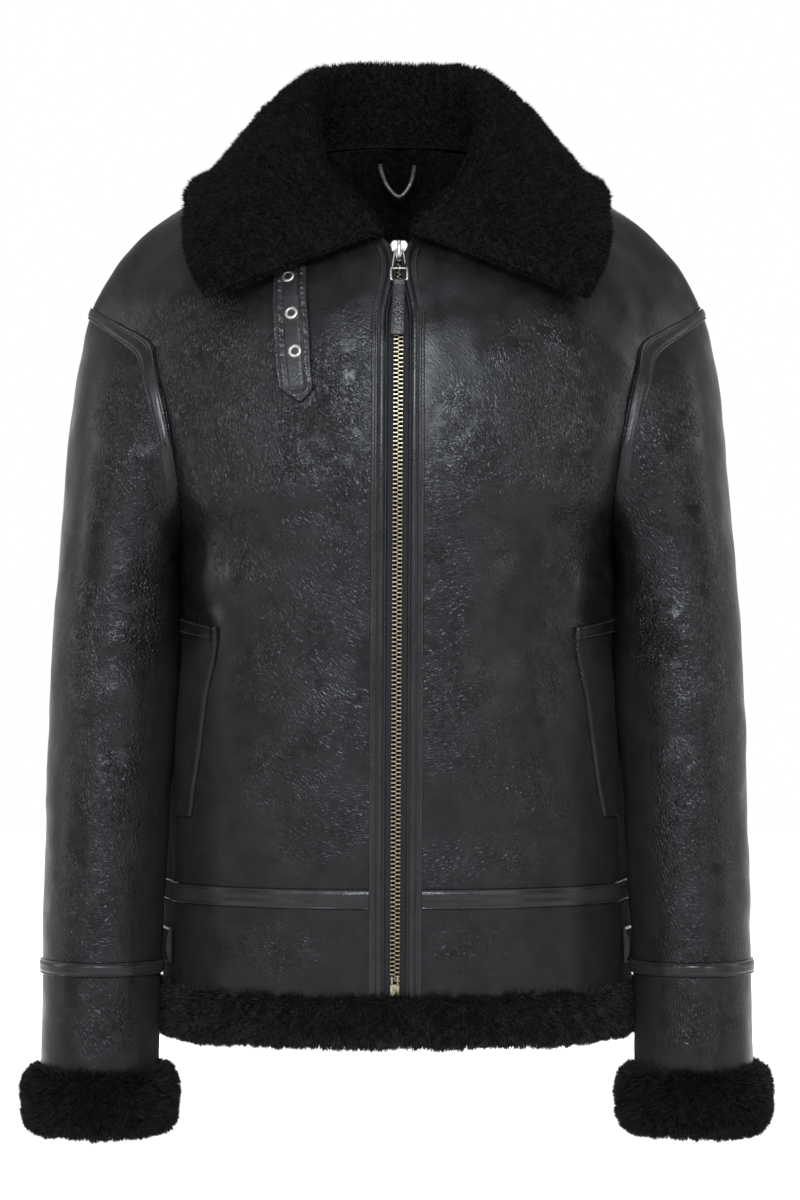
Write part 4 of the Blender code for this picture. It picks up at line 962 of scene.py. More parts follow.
SKIN = leather("sheepskin_leather", (0.0016, 0.0016, 0.0018), (0.0048, 0.0046, 0.0048), 0.29, grain=0.07, shine=0.105)
STRIP = leather("strip_leather", (0.0022, 0.0022, 0.0025), (0.0050, 0.0049, 0.0051), 0.26, creased=False, grain=0.06, pebble=0.9, shine=0.17)
TAB = leather("tab_leather", (0.0030, 0.0030, 0.0032), (0.0095, 0.0095, 0.0098), 0.30, creased=False, grain=0.16, pebble=1.5, shine=0.18)
PILE = pile("sheared_pile", (0.0008, 0.0007, 0.0008), (0.0040, 0.0036, 0.0038))
HAIR = fur("fur_hair", (0.0006, 0.0005, 0.0006), (0.0056, 0.0048, 0.0051), shine=0.055)
CUFF_HAIR = fur("fur_hair_cuff", (0.0008, 0.0007, 0.0008), (0.0120, 0.0106, 0.0110))
HEM_HAIR = fur("fur_hair_hem", (0.0010, 0.0009, 0.0010), (0.0230, 0.0212, 0.0218))
THREAD = woven("thread", (0.010, 0.010, 0.011), (0.055, 0.055, 0.058), 0.25)
TAPE = woven("zip_tape", (0.0040, 0.0040, 0.0044), (0.0150, 0.0150, 0.0155), 0.55)
NICKEL = metal("nickel_metal", (0.27, 0.262, 0.248), (0.13, 0.126, 0.118), 0.42, 0.008)
BRASS = metal("antique_brass_metal", (0.205, 0.178, 0.120), (0.085, 0.073, 0.047), 0.38, 0.02)


def settle(piece, body_name, nodes=()):
    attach(piece, body_name)
    if nodes:
        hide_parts(*nodes)
    return piece


# ---- the leather panels -------------------------------------------------------------------
WAIST_W = WAIST_SEAM_Z - HEM_Z
BAND_FOOT_W = BAND_FOOT_Z - HEM_Z
SEAM_GAPS = (0.16, 0.9, 1.8, 3.0, 4.4)


def skin_panel(name, nodes, side, us, ws, cut, inner=True):
    """A panel of sheepskin: leather outside, sheared fur inside."""
    u, w = np.meshgrid(us, ws, indexing="ij")
    edge_side = (1 - u) * 230.0
    up = np.where(w > SHOULDER_W, BACK_HEM_W - w, w)
    armhole = (w > ARMPIT_W) & (w < BACK_ARMPIT_W)
    dip = seam_dip(edge_side) * np.where(armhole, 0.3, 1.0)
    dip = dip + seam_dip(np.abs(w - SHOULDER_W), 1.2, 1.5)
    p, n = on_body(u, w, side, dip)
    base, _ = on_body(u, w, side, 0.0, relief=False)
    return p, base - (WALL - 0.6) * n, n, u, w


def panel(name, node, side, us, ws, cut):
    p, inner, n, u, w = skin_panel(name, node, side, us, ws, cut)
    nu, nv = u.shape
    shape = p.reshape(-1, 3)
    made = two_layers(name, shape, inner.reshape(-1, 3), n.reshape(-1, 3), grid_quads(nu, nv), [SKIN, PILE], (0, 1, 1),
                      creases(shape), sharp=50)
    return settle(made, "jacket", [node])


def panel_both(name, node, us, ws, cut):
    """The back's two halves as one piece, open above the back of the neck."""
    layers = []
    for side in (1.0, -1.0):
        layers.append(skin_panel(name, node, side, us, ws, cut))
    nu, nv = layers[0][3].shape
    count = nu * nv
    outer = np.concatenate([v[0].reshape(-1, 3) for v in layers])
    inner = np.concatenate([v[1].reshape(-1, 3) for v in layers])
    normals = np.concatenate([v[2].reshape(-1, 3) for v in layers])
    left = facing(outer, grid_quads(nu, nv), normals)
    right = facing(outer, grid_quads(nu, nv, base=count), normals)
    shared = np.arange(2 * count)
    joined = np.flatnonzero(ws >= NECK_BACK_W - 0.01)
    shared[count + joined] = joined  # u is 0 there, the first row of the grid
    quads = shared[np.concatenate([left, right])]
    used, quads = np.unique(quads, return_inverse=True)
    quads = quads.reshape(-1, 4)
    outer, inner, normals = outer[used], inner[used], normals[used]
    made = two_layers(name, outer, inner, normals, quads, [SKIN, PILE], (0, 1, 1), creases(outer), sharp=50)
    return settle(made, "jacket", [node])


PANEL_U = stops(0.0, 1.0, 0.0175, [(1.0, tuple(g / 230.0 for g in SEAM_GAPS)), (0.0, (0.0015, 0.006))])
FRONT_W = stops(WAIST_W, SHOULDER_W, 4.0, [(SHOULDER_W, SEAM_GAPS), (WAIST_W, (0.5, 2.0))])
BACK_W = stops(SHOULDER_W, BACK_HEM_W - WAIST_W, 4.0, [(SHOULDER_W, SEAM_GAPS), (BACK_HEM_W - WAIST_W, (0.5, 2.0)), (NECK_BACK_W, (0.5, 2.0))])
BACK_W = np.unique(np.append(BACK_W, NECK_BACK_W))
BAND_W = stops(BAND_FOOT_W, WAIST_W, 4.0, [(WAIST_W, (0.5, 2.0)), (BAND_FOOT_W, (0.5, 2.0))])

for label, side in (("left", 1.0), ("right", -1.0)):
    panel(f"front_{label}_leather", f"front_{label}", side, PANEL_U, FRONT_W, "front")
    panel(f"band_front_{label}_leather", f"band_front_{label}", side, PANEL_U, BAND_W, "band_front")
panel_both("back_leather", "back", PANEL_U, BACK_W, "back")
panel_both("band_back_leather", "band_back", PANEL_U, BACK_HEM_W - BAND_W[::-1], "band_back")

# ---- sleeves -------------------------------------------------------------------------------
SLEEVE_SEAM = 528.0
WRIST = 609.0


def tube(name, node, side, ss):
    ws = np.linspace(ARMPIT_W, BACK_ARMPIT_W, 97)[:-1]
    w, s = np.meshgrid(ws, ss, indexing="ij")
    # the sleeve's seam runs down the inside of the arm
    seam = np.minimum(np.abs(w - ARMPIT_W), np.abs(w - BACK_ARMPIT_W)) * 0.42
    dip = seam_dip(seam, 1.1, 1.8) * step(s, 0, 10)
    p, n = on_sleeve(w, s, side, dip)
    base, m = sleeve(w, s), sleeve_normal(w, s)
    inner = (base - (WALL - 0.6) * m) * np.array([side, 1.0, 1.0])
    shape = p.reshape(-1, 3)
    made = two_layers(name, shape, inner.reshape(-1, 3), n.reshape(-1, 3), grid_quads(*w.shape, closed=True), [SKIN, PILE], (0, 1, 0),
                      creases(shape), sharp=50)
    return settle(made, "jacket", [node])


for label, side in (("left", 1.0), ("right", -1.0)):
    tube(f"sleeve_{label}_leather", f"sleeve_{label}", side, stops(0.0, SLEEVE_SEAM - 0.15, 4.2, [(0.0, SEAM_GAPS)]))
    tube(f"sleeve_low_{label}_leather", f"sleeve_low_{label}", side, stops(SLEEVE_SEAM + 0.15, WRIST, 4.2))


# ---- strips: across profiles of (distance, height) ------------------------------------------
def profile_points(knots, count):
    d = np.array([k[0] for k in knots], float)
    h = np.array([k[1] for k in knots], float)
    t = np.unique(np.round(np.concatenate([np.linspace(d[0], d[-1], count), d[[0, -1]] + [0.25, -0.25]]), 3))
    return t, through(d, h[:, None], t)[:, 0]


def raised(name, at, across, heights, along, material, closed=False, base=0.2, values=True, sharp=45):
    """A strip that lies on leather. at(across, along, height) gives points and normals."""
    a, b = np.meshgrid(across, along, indexing="ij")
    h = np.broadcast_to(np.asarray(heights, float)[:, None] if np.ndim(heights) == 1 else heights, a.shape)
    low, n = at(a, b, np.full(a.shape, base))
    high, _ = at(a, b, np.maximum(h, base + 0.05))
    nu, nv = a.shape
    quads = grid_quads(nu, nv)
    if closed:
        wrap = np.stack([np.arange(nu - 1) * nv + nv - 1, np.arange(1, nu) * nv + nv - 1, np.arange(1, nu) * nv, np.arange(nu - 1) * nv], axis=-1)
        quads = np.concatenate([quads, wrap])
    shape = high.reshape(-1, 3)
    return two_layers(name, shape, low.reshape(-1, 3), n.reshape(-1, 3), quads, [material], (0, 0, 0), creases(shape) if values else None, sharp=sharp)


def band_profile(half, height, count=13):
    """A flat strip turned in at both edges, with a stitched line close to each."""
    knots = [(-half, 0.35), (-half + 0.7, height * 0.95), (-half + 1.5, height * 0.72), (-half + 2.5, height), (0, height * 1.12),
             (half - 2.5, height), (half - 1.5, height * 0.72), (half - 0.7, height * 0.95), (half, 0.35)]
    return profile_points(knots, count)


STITCHES = {}  # material group -> list of (points, normals) runs


def stitch_run(group, points, normals):
    STITCHES.setdefault(group, []).append((np.asarray(points, float), np.asarray(normals, float)))


def line_on(at, across, along, height):
    a = np.broadcast_to(np.asarray(across, float), np.shape(along))
    return at(a, np.asarray(along, float), np.full(np.shape(along), height))


# waist strip
for label, side in (("left", 1.0), ("right", -1.0)):
    first = float(u_at(PLACKET_OUT - PLACKET_IN, np.array([WAIST_W]))[0])
    across, heights = band_profile(STRIP_HALF, 2.2, 17)

    def at(a, b, h, side=side):
        return on_body(b, WAIST_W + a, side, h)

    us = stops(first, 0.9995, 0.0155)
    made = raised(f"waist_strip_{label}_leather", at, across, heights, us, STRIP)
    settle(made, "jacket", [f"waist_strip_{label}"])
    for d in (-STRIP_HALF + 1.6, STRIP_HALF - 1.6):
        p, n = line_on(at, d, np.linspace(first + 0.004, 0.997, 240), 1.55)
        stitch_run("body", p, n)


def at_back(a, b, h):
    side = np.where(b < 0, -1.0, 1.0)
    u, w = np.abs(b), BACK_HEM_W - WAIST_W - a
    p, n = body(u, w), body_normal(u, w)
    mirror = np.stack([side, np.ones_like(side), np.ones_like(side)], axis=-1)
    p, n = p * mirror, n * mirror
    return p + (h + body_relief(p, w))[..., None] * n, n


across, heights = band_profile(STRIP_HALF, 2.2, 17)
made = raised("waist_strip_back_leather", at_back, across, heights, stops(-0.9995, 0.9995, 0.0155), STRIP)
settle(made, "jacket", ["waist_strip_back"])
for d in (-STRIP_HALF + 1.6, STRIP_HALF - 1.6):
    p, n = line_on(at_back, d, np.linspace(-0.997, 0.997, 480), 1.55)
    stitch_run("body", p, n)

# bound front edges with a raised welt along the middle
PLACKET_PROFILE = [(0.0, 0.4), (0.35, 1.3), (1.1, 1.0), (1.9, 1.5), (3.2, 2.7), (4.7, 3.1), (6.2, 2.6), (7.6, 1.4), (8.7, 0.75), (9.6, 1.0), (10.6, 1.5), (11.5, 1.15), (12.1, 1.4), (12.6, 0.4)]
PLACKET_TOP_W, PLACKET_FOOT_W = 622.0, BAND_FOOT_W + 0.5
rows = stops(PLACKET_FOOT_W, PLACKET_TOP_W, 5.0)
across, heights = profile_points(PLACKET_PROFILE, 27)
# the u for each distance in from the front edge, at each height
table_d = np.linspace(0, 13, 14)
table_u = np.stack([u_at(d, rows) if d else np.zeros_like(rows) for d in table_d])


def placket_u(d, w):
    k = np.clip(np.searchsorted(rows, w, side="right") - 1, 0, len(rows) - 2)
    f = (w - rows[k]) / (rows[k + 1] - rows[k])
    i = np.clip(np.asarray(d / 1.0).astype(int), 0, 12)
    g = d - i
    top = table_u[i, k] * (1 - f) + table_u[i, k + 1] * f
    low = table_u[i + 1, k] * (1 - f) + table_u[i + 1, k + 1] * f
    return top * (1 - g) + low * g


for label, side in (("left", 1.0), ("right", -1.0)):

    def at(a, b, h, side=side):
        return on_body(placket_u(a, b), b, side, h)

    made = raised(f"placket_{label}_leather", at, across, heights, rows, STRIP)
    settle(made, "jacket", [f"placket_{label}"])
    fine_rows = np.linspace(PLACKET_FOOT_W + 1, PLACKET_TOP_W - 1, 640)
    for d, h in ((1.0, 1.12), (11.5, 1.28)):
        p, n = line_on(at, d, fine_rows, h)
        stitch_run("body", p, n)

# armhole strips, on the sleeve's side of the armhole seam
for label, side in (("left", 1.0), ("right", -1.0)):

    def at(a, b, h, side=side):
        return on_sleeve(b, a, side, h)

    across, heights = profile_points([(0.6, 0.3), (1.1, 1.3), (2.2, 0.9), (3.6, 1.5), (6.2, 1.7), (8.4, 1.4), (9.7, 0.9), (10.6, 1.2), (11.0, 0.3)], 15)
    ws = np.linspace(ARM_W[3] - 4, ARM_W[-3] + 4, 150)
    fade = step(ws - ws[0], 0, 30) * step(ws[-1] - ws, 0, 30)
    made = raised(f"armhole_strip_{label}_leather", at, across, 0.25 + (heights[:, None] - 0.25) * fade[None, :], ws, STRIP)
    settle(made, "jacket", [f"armhole_strip_{label}"])
    for d in (2.2, 9.7):
        p, n = line_on(at, d, np.linspace(ws[0] + 14, ws[-1] - 14, 620), 1.15)
        stitch_run("body", p, n)
    # sleeve seam strip
    across, heights = band_profile(SLEEVE_STRIP_HALF, 2.1, 15)

    def at(a, b, h, side=side):
        return on_sleeve(b, SLEEVE_SEAM + a, side, h)

    ws = np.linspace(ARMPIT_W, BACK_ARMPIT_W, 97)[:-1]
    made = raised(f"sleeve_strip_{label}_leather", at, across, heights, ws, STRIP, closed=True)
    settle(made, "jacket", [f"sleeve_strip_{label}"])
    for d in (-SLEEVE_STRIP_HALF + 1.6, SLEEVE_STRIP_HALF - 1.6):
        p, n = line_on(at, d, np.linspace(ARMPIT_W, BACK_ARMPIT_W, 420), 1.55)
        stitch_run("body", p, n)


# ---- pockets: a leather facing behind a slanting opening ------------------------------------------
POCKET_LINE = [(-341, 138), (-354, 138.5), (-374, 142), (-400, 147), (-435, 152), (-470, 157.5), (-490, 160.5)]
POCKET_LAST = 0.80


def pocket_grid(side):
    z = np.array([r[0] for r in POCKET_LINE], float)
    first, w = front_uv(np.array([r[1] for r in POCKET_LINE], float), z)
    return z - HEM_Z, first


for label, side in (("left", 1.0), ("right", -1.0)):
    pocket_w, pocket_first = pocket_grid(side)

    def at(a, b, h, side=side):
        """a: share from the opening line to the side; b: height."""
        order = np.argsort(pocket_w)
        first = through(pocket_w[order], pocket_first[order][:, None], b)[..., 0]
        u = first + (POCKET_LAST - first) * a
        slope = np.clip((b - (-374 - HEM_Z)) / 33.0, 0, 1) * 9.0
        return on_body(u, b + a * slope, side, h)

    across = np.concatenate([[0.0, 0.008, 0.03, 0.055, 0.09], np.linspace(0.13, 1.0, 14)])
    rows_p = stops(-490 - HEM_Z, -341 - HEM_Z, 3.5, [(-341 - HEM_Z, (0.5, 1.2, 9.0, 9.8)), (-490 - HEM_Z, (0.5, 1.2))])
    a, b = np.meshgrid(across, rows_p, indexing="ij")
    # a rolled lip along the opening, a raised band along the top, edges that turn under
    from_line = a * 48.0
    from_top, from_foot = (-341 - HEM_Z) - b, b - (-490 - HEM_Z)
    lip = 1.5 * np.exp(-(((from_line - 1.6) / 1.3) ** 2))
    band = 0.9 * step(10.6 - from_top, 0, 1.2)
    h = 1.6 + lip + band + 0.5 * np.exp(-((from_foot - 2.0) / 2.0) ** 2)
    h = h * step(from_line, -0.6, 0.5) * step(from_top, -0.5, 0.7) * step(from_foot, -0.5, 0.7)
    made = raised(f"pocket_{label}_leather", at, across, h, rows_p, SKIN)
    settle(made, "jacket", [f"pocket_{label}"])
    for share in (0.075,):
        p, n = line_on(at, share, np.linspace(rows_p[0] + 2, rows_p[-1] - 12, 170), 2.0)
        stitch_run("body", p, n)
    sh = np.linspace(0.05, 0.97, 60)
    for drop in (1.8, 9.0):
        p, n = at(sh, np.full(60, rows_p[-1] - drop), np.full(60, 2.65))
        stitch_run("body", p, n)


# ---- throat strap with eyelets ------------------------------------------------------------------------
STRAP_ROWS = [(-62, -82, 13.0), (-70, -82, 13.0), (-90, -82, 13.4), (-105, -81, 13.8), (-120, -80.3, 14), (-140, -79, 13.6),
              (-157, -77, 13.4), (-163, -75.5, 7.9), (-168.3, -73.8, 0.8)]
strap_z = np.array([r[0] for r in STRAP_ROWS], float)
strap_c = np.array([r[1] for r in STRAP_ROWS], float)
strap_h = np.array([r[2] for r in STRAP_ROWS], float)


def strap_place(share, z, height):
    """share: -1 to 1 across the strap; the tip below z -157 is straight sided."""
    z = np.asarray(z, float)
    order = strap_z[::-1]
    centre = np.interp(z, order, strap_c[::-1])
    half = np.interp(z, order, strap_h[::-1])
    x = centre + share * half
    u, w = front_uv(np.abs(x), z)
    p, n = body(u, w), body_normal(u, w)
    p, n = p * np.array([-1.0, 1, 1]), n * np.array([-1.0, 1, 1])
    return p + (height + body_relief(p, w))[..., None] * n, n


zs = np.concatenate([np.linspace(-62, -156, 120), np.linspace(-157.2, -168.3, 16)])[::-1]
shares = np.concatenate([[-1, -0.985, -0.95, -0.9], np.linspace(-0.85, 0.85, 25), [0.9, 0.95, 0.985, 1]])
a, b = np.meshgrid(shares, zs, indexing="ij")
half = np.interp(b, strap_z[::-1], strap_h[::-1])
inwards = (1 - np.abs(a)) * half
inwards = np.minimum(inwards, np.maximum((b + 168.6) * 0.70, 0.0))
h = 3.1 * step(inwards, -0.35, 0.75)
h -= 0.55 * np.exp(-(((inwards - 1.7) / 0.55) ** 2))   # edge stitching
h += 0.75 * np.exp(-(((inwards - 4.3) / 1.7) ** 2))    # rolled band between the two lines
h -= 0.8 * np.exp(-(((inwards - 7.4) / 0.7) ** 2)) * step(b, -163, -158)  # inner channel
pucker = wander(np.stack([a * 9 + 0.45 * b, b * 1.0, 0 * a], axis=-1), 1.9, 61)
h += 0.55 * pucker * np.exp(-(((inwards - 4.5) / 2.6) ** 2)) * step(inwards, 0, 1.5)
low, n = strap_place(a, b, 0.9)
high, _ = strap_place(a, b, np.maximum(h, 0) + 0.95)
strap = two_layers("throat_strap_leather", high.reshape(-1, 3), low.reshape(-1, 3), n.reshape(-1, 3), grid_quads(*a.shape), [TAB], (0, 0, 0), None, sharp=55)
settle(strap, "jacket", ["throat_strap"])
for way in (-1, 1):
    z_run = np.linspace(-64, -156.5, 190)
    hw = np.interp(z_run, strap_z[::-1], strap_h[::-1])
    for inset, height in ((1.75, 3.55), (7.4, 3.4)):
        p, n = strap_place(way * (1 - inset / hw), z_run, height)
        stitch_run("body", p, n)
    # the two lines close in a point at the tip
    for (x0, z0), (x1, z1), height in (((11.7, -156.5), (1.4, -165.6), 3.4), ((6.0, -156.5), (1.0, -160.4), 3.3)):
        t = np.linspace(0, 1, 30)
        z_t = z0 + (z1 - z0) * t
        hw = np.interp(z_t, strap_z[::-1], strap_h[::-1])
        x_t = (x0 + (x1 - x0) * t) / np.maximum(hw, 1.5)
        p, n = strap_place(way * np.clip(x_t, 0, 0.9), z_t, height)
        stitch_run("body", p, n)


def ring_mesh(name, centre, normal, profile, turns, material, upright=(0, 0, 1.0)):
    """A turned ring: profile is a closed loop of (radius, height along the normal)."""
    side = unit(np.cross(normal, np.array(upright)))
    up = np.cross(side, normal)
    angles = np.linspace(0, 2 * math.pi, turns, endpoint=False)
    d = np.cos(angles)[:, None] * side + np.sin(angles)[:, None] * up
    loop = np.array(profile, float)
    pts = centre + d[:, None, :] * loop[None, :, 0:1] + normal * loop[None, :, 1:2]
    m = len(loop)
    i, j = np.meshgrid(np.arange(turns), np.arange(m), indexing="ij")
    k, l = (i + 1) % turns, (j + 1) % m
    quads = np.stack([i * m + j, k * m + j, k * m + l, i * m + l], axis=-1).reshape(-1, 4)
    p = pts.reshape(-1, 3)
    a, b, c, e = (p[quads[:, q]] for q in range(4))
    if (np.cross(c - a, e - b) * ((a + c) / 2 - centre)).sum() < 0:
        quads = quads[:, ::-1]
    return build_mesh(name, p, [quads], [material], sharp=60)


def disc_points(radius, height, turns, centre, normal):
    side = unit(np.cross(normal, np.array([0, 0, 1.0])))
    up = np.cross(side, normal)
    a = np.linspace(0, 2 * math.pi, turns, endpoint=False)
    return centre + radius * (np.cos(a)[:, None] * side + np.sin(a)[:, None] * up) + height * normal


for k, (x, z) in enumerate(((-83.5, -70.5), (-80.8, -99.5), (-78.0, -129.0))):
    u, w = front_uv(abs(x), z)
    p, n = body(u, w) * np.array([-1.0, 1, 1]), body_normal(u, w) * np.array([-1.0, 1, 1])
    centre = p + float(body_relief(p, w)) * n + 3.55 * n
    turned = [(5.45, 0.0), (5.3, 0.55), (4.7, 0.95), (3.9, 1.15), (3.1, 1.0), (2.6, 0.45), (2.4, -0.4), (2.35, -2.0), (2.9, -2.0), (2.95, -0.3), (4.5, -0.15)]
    made = ring_mesh(f"eyelet_{k + 1}_ring", centre, n, turned, 40, NICKEL)
    settle(made, "jacket", [f"eyelet_{k + 1}"])


# ---- zip ------------------------------------------------------------------------------------------------
def front_y(z):
    """The front surface's y at the middle, at a height."""
    z = np.asarray(z, float)
    return through(BODY_W[:13], BODY_ROWS[:13, 1:2], z - HEM_Z)[..., 0]


ZIP_TOP, ZIP_FOOT = -58.6, -615.0
SLIDER_TOP, SLIDER_FOOT, PIVOT_Z = -40.5, -57.5, -49.0
PITCH = 3.28


def rounded_box(half, bevel):
    """Corner points and faces of a box with cut corners and edges: (points, quads, triangles)."""
    hx, hy, hz = half
    b = bevel
    pts, key = [], {}
    for sx in (-1, 1):
        for sy in (-1, 1):
            for sz in (-1, 1):
                for axis in range(3):
                    q = [sx * (hx - b), sy * (hy - b), sz * (hz - b)]
                    q[axis] = (sx * hx, sy * hy, sz * hz)[axis]
                    key[(sx, sy, sz, axis)] = len(pts)
                    pts.append(q)
    quads, tris = [], []
    signs = (-1, 1)
    for axis in range(3):
        o1, o2 = [k for k in range(3) if k != axis]
        for s in signs:
            ring = []
            for s1, s2 in ((-1, -1), (1, -1), (1, 1), (-1, 1)):
                c = [0, 0, 0]
                c[axis], c[o1], c[o2] = s, s1, s2
                ring.append(key[(*c, axis)])
            quads.append(ring)
    for axis in range(3):  # edges along an axis
        o1, o2 = [k for k in range(3) if k != axis]
        for s1 in signs:
            for s2 in signs:
                c0, c1 = [0, 0, 0], [0, 0, 0]
                c0[axis], c1[axis] = -1, 1
                c0[o1] = c1[o1] = s1
                c0[o2] = c1[o2] = s2
                quads.append([key[(*c0, o1)], key[(*c1, o1)], key[(*c1, o2)], key[(*c0, o2)]])
    for sx in signs:
        for sy in signs:
            for sz in signs:
                tris.append([key[(sx, sy, sz, 0)], key[(sx, sy, sz, 1)], key[(sx, sy, sz, 2)]])
    p = np.array(pts, float)

    def outwards(faces):
        made = []
        for f in faces:
            n = np.cross(p[f[1]] - p[f[0]], p[f[2]] - p[f[1]])
            made.append(f if n @ p[f].mean(0) > 0 else f[::-1])
        return np.array(made)

    return p, outwards(quads), outwards(tris)


def many(name, template, places, material, sharp=30):
    """Copies of a template at places: (centre, 3 by 3 matrix whose columns are its axes)."""
    p, quads, tris = template
    points = np.concatenate([np.asarray(c) + p @ np.asarray(m).T for c, m in places])
    shift = (np.arange(len(places)) * len(p))[:, None, None]
    faces = []
    if len(quads):
        faces.append((quads[None] + shift).reshape(-1, quads.shape[1]))
    if len(tris):
        faces.append((tris[None] + shift).reshape(-1, 3))
    return build_mesh(name, points, faces, [material], sharp=sharp)


def front_slope(z):
    """The lengthwise direction of the zip at a height, pointing up."""
    a = np.array([float(lean(z + 2)), float(front_y(z + 2)), z + 2])
    b = np.array([float(lean(z - 2)), float(front_y(z - 2)), z - 2])
    return unit(a - b)


bar, neck_bar = rounded_box((1.95, 1.15, 0.62), 0.22), rounded_box((0.62, 0.85, 0.86), 0.2)
bars, heads = [], []
count = int((ZIP_TOP - 1.0 - (ZIP_FOOT + 1.0)) / PITCH)
for k in range(count):
    for way in (-1, 1):
        z = ZIP_TOP - 1.6 - PITCH * (k + (0.5 if way > 0 else 0.0))
        if z < ZIP_FOOT + 0.8:
            continue
        c, y = float(lean(z)), float(front_y(z))
        up = front_slope(z)
        out = unit(np.cross(up, np.array([1.0, 0, 0])))
        across = np.cross(out, up) * -1.0
        axes = np.stack([np.array([1.0, 0, 0]), out, up], axis=1)
        bars.append((np.array([c + way * 1.92, y + 2.9, z]), axes))
        heads.append((np.array([c + way * 0.30, y + 2.9, z]), axes))
teeth = many("zip_teeth", bar, bars, BRASS)
settle(teeth, "jacket", ["zip_chain"])
settle(many("zip_tooth_heads", neck_bar, heads, BRASS), "jacket")


def lengthwise(name, across, z_values, material, values=None, sharp=40, closed_loop=True):
    """A strip down the front from a closed section: (x from the zip's middle, y from the front's surface)."""
    loop = np.array(across, float)
    z = np.asarray(z_values, float)
    m, n = len(loop), len(z)
    p = np.zeros((n, m, 3))
    p[..., 0] = lean(z)[:, None] + loop[None, :, 0]
    p[..., 1] = front_y(z)[:, None] + loop[None, :, 1]
    p[..., 2] = z[:, None]
    i, j = np.meshgrid(np.arange(n - 1), np.arange(m), indexing="ij")
    quads = np.stack([i * m + j, (i + 1) * m + j, (i + 1) * m + (j + 1) % m, i * m + (j + 1) % m], axis=-1).reshape(-1, 4)
    pts = p.reshape(-1, 3)
    centre = pts[quads].mean(1) - np.repeat(p.mean(1), m, axis=0)[: len(quads)]
    a, b, c, d = (pts[quads[:, q]] for q in range(4))
    if (np.cross(c - a, d - b) * centre).sum() < 0:
        quads = quads[:, ::-1]
    caps = []
    top_c, low_c = p[0].mean(0), p[-1].mean(0)
    pts = np.concatenate([pts, [top_c, low_c]])
    for ring, centre_id in ((np.arange(m), n * m), (np.arange((n - 1) * m, n * m), n * m + 1)):
        for q in range(m):
            caps.append([ring[q], ring[(q + 1) % m], centre_id])
    caps = np.array(caps)
    mid = pts.mean(0)
    nrm = np.cross(pts[caps[:, 1]] - pts[caps[:, 0]], pts[caps[:, 2]] - pts[caps[:, 0]])
    flip = (nrm * (pts[caps].mean(1) - mid)).sum(1) < 0
    caps[flip] = caps[flip][:, ::-1]
    return build_mesh(name, pts, [quads, caps], [material], sharp=sharp)


zs = np.linspace(-44, BAND_FOOT_Z, 180)
for label, way in (("left", 1.0), ("right", -1.0)):
    # cloth tape, with the cord that carries the teeth along its inner edge
    section = [(way * 2.7, 3.5), (way * 3.0, 2.5), (way * 3.9, 2.2), (way * 4.7, 2.7), (way * 5.2, 3.2), (way * 9.3, 3.4), (way * 9.3, 4.2), (way * 2.7, 4.3)]
    made = lengthwise(f"zip_tape_{label}_cloth", section, zs, TAPE)
    settle(made, "jacket", [f"zip_tape_{label}"])

# bottom box and pin
z0 = (BAND_FOOT_Z + ZIP_FOOT) / 2
c, y = float(lean(z0)), float(front_y(z0))
boxes = [
    (np.array([c, y + 2.6, z0 - 0.2]), np.diag([1.0, 1.0, 1.0])),
]
made = many("zip_box_metal", rounded_box((4.1, 2.1, 5.2), 0.7), boxes, BRASS)
settle(made, "jacket", ["zip_box"])
pins = [(np.array([c - 2.2, y + 1.9, z0 + 7.5]), np.eye(3)), (np.array([c + 2.2, y + 1.9, z0 + 6.9]), np.eye(3))]
settle(many("zip_pins", rounded_box((0.9, 0.9, 3.4), 0.35), pins, BRASS), "jacket")

# slider: two rounded shoulders that narrow downwards, and the bridge in the middle
PIVOT = np.array([float(lean(PIVOT_Z)), float(front_y(PIVOT_Z)) - 3.0, PIVOT_Z])


def turned_plate(outline, y_front, y_back, crown, name, material, holes=(), pivot=PIVOT, rings=4):
    """A flat piece with a rounded front rim: outline of (x, z) from the pivot, depths from the pivot."""
    loop = np.array(outline, float)
    m = len(loop)
    centre = loop.mean(0)
    layers, shape = [], []
    for k in range(rings):
        f = k / (rings - 1)
        inset = crown * (1 - math.cos(f * math.pi / 2))
        depth = y_front + crown * (1 - math.sin(f * math.pi / 2))
        way = centre - loop
        size = np.linalg.norm(way, axis=1, keepdims=True)
        q = loop + way / size * inset
        layers.append(np.stack([q[:, 0], np.full(m, depth), q[:, 1]], axis=1))
    back = np.stack([loop[:, 0], np.full(m, y_back), loop[:, 1]], axis=1)
    rings_all = [back] + layers
    pts = np.concatenate(rings_all + [[[centre[0], y_front, centre[1]]], [[centre[0], y_back, centre[1]]]])
    faces = []
    for k in range(len(rings_all) - 1):
        for j in range(m):
            a, b = k * m + j, k * m + (j + 1) % m
            faces += [[a, b, b + m], [a, b + m, a + m]]
    last = (len(rings_all) - 1) * m
    top, low = len(rings_all) * m, len(rings_all) * m + 1
    for j in range(m):
        faces.append([last + j, last + (j + 1) % m, top])
        faces.append([j, low, (j + 1) % m])
    faces = np.array(faces)
    vol = (pts[faces[:, 0]] * np.cross(pts[faces[:, 1]], pts[faces[:, 2]])).sum()
    if vol < 0:
        faces = faces[:, ::-1]
    return build_mesh(name, pts + pivot, [faces], [material], sharp=50)


def arc(cx, cz, r, a0, a1, n):
    a = np.radians(np.linspace(a0, a1, n))
    return [(cx + r * math.cos(v), cz + r * math.sin(v)) for v in a]


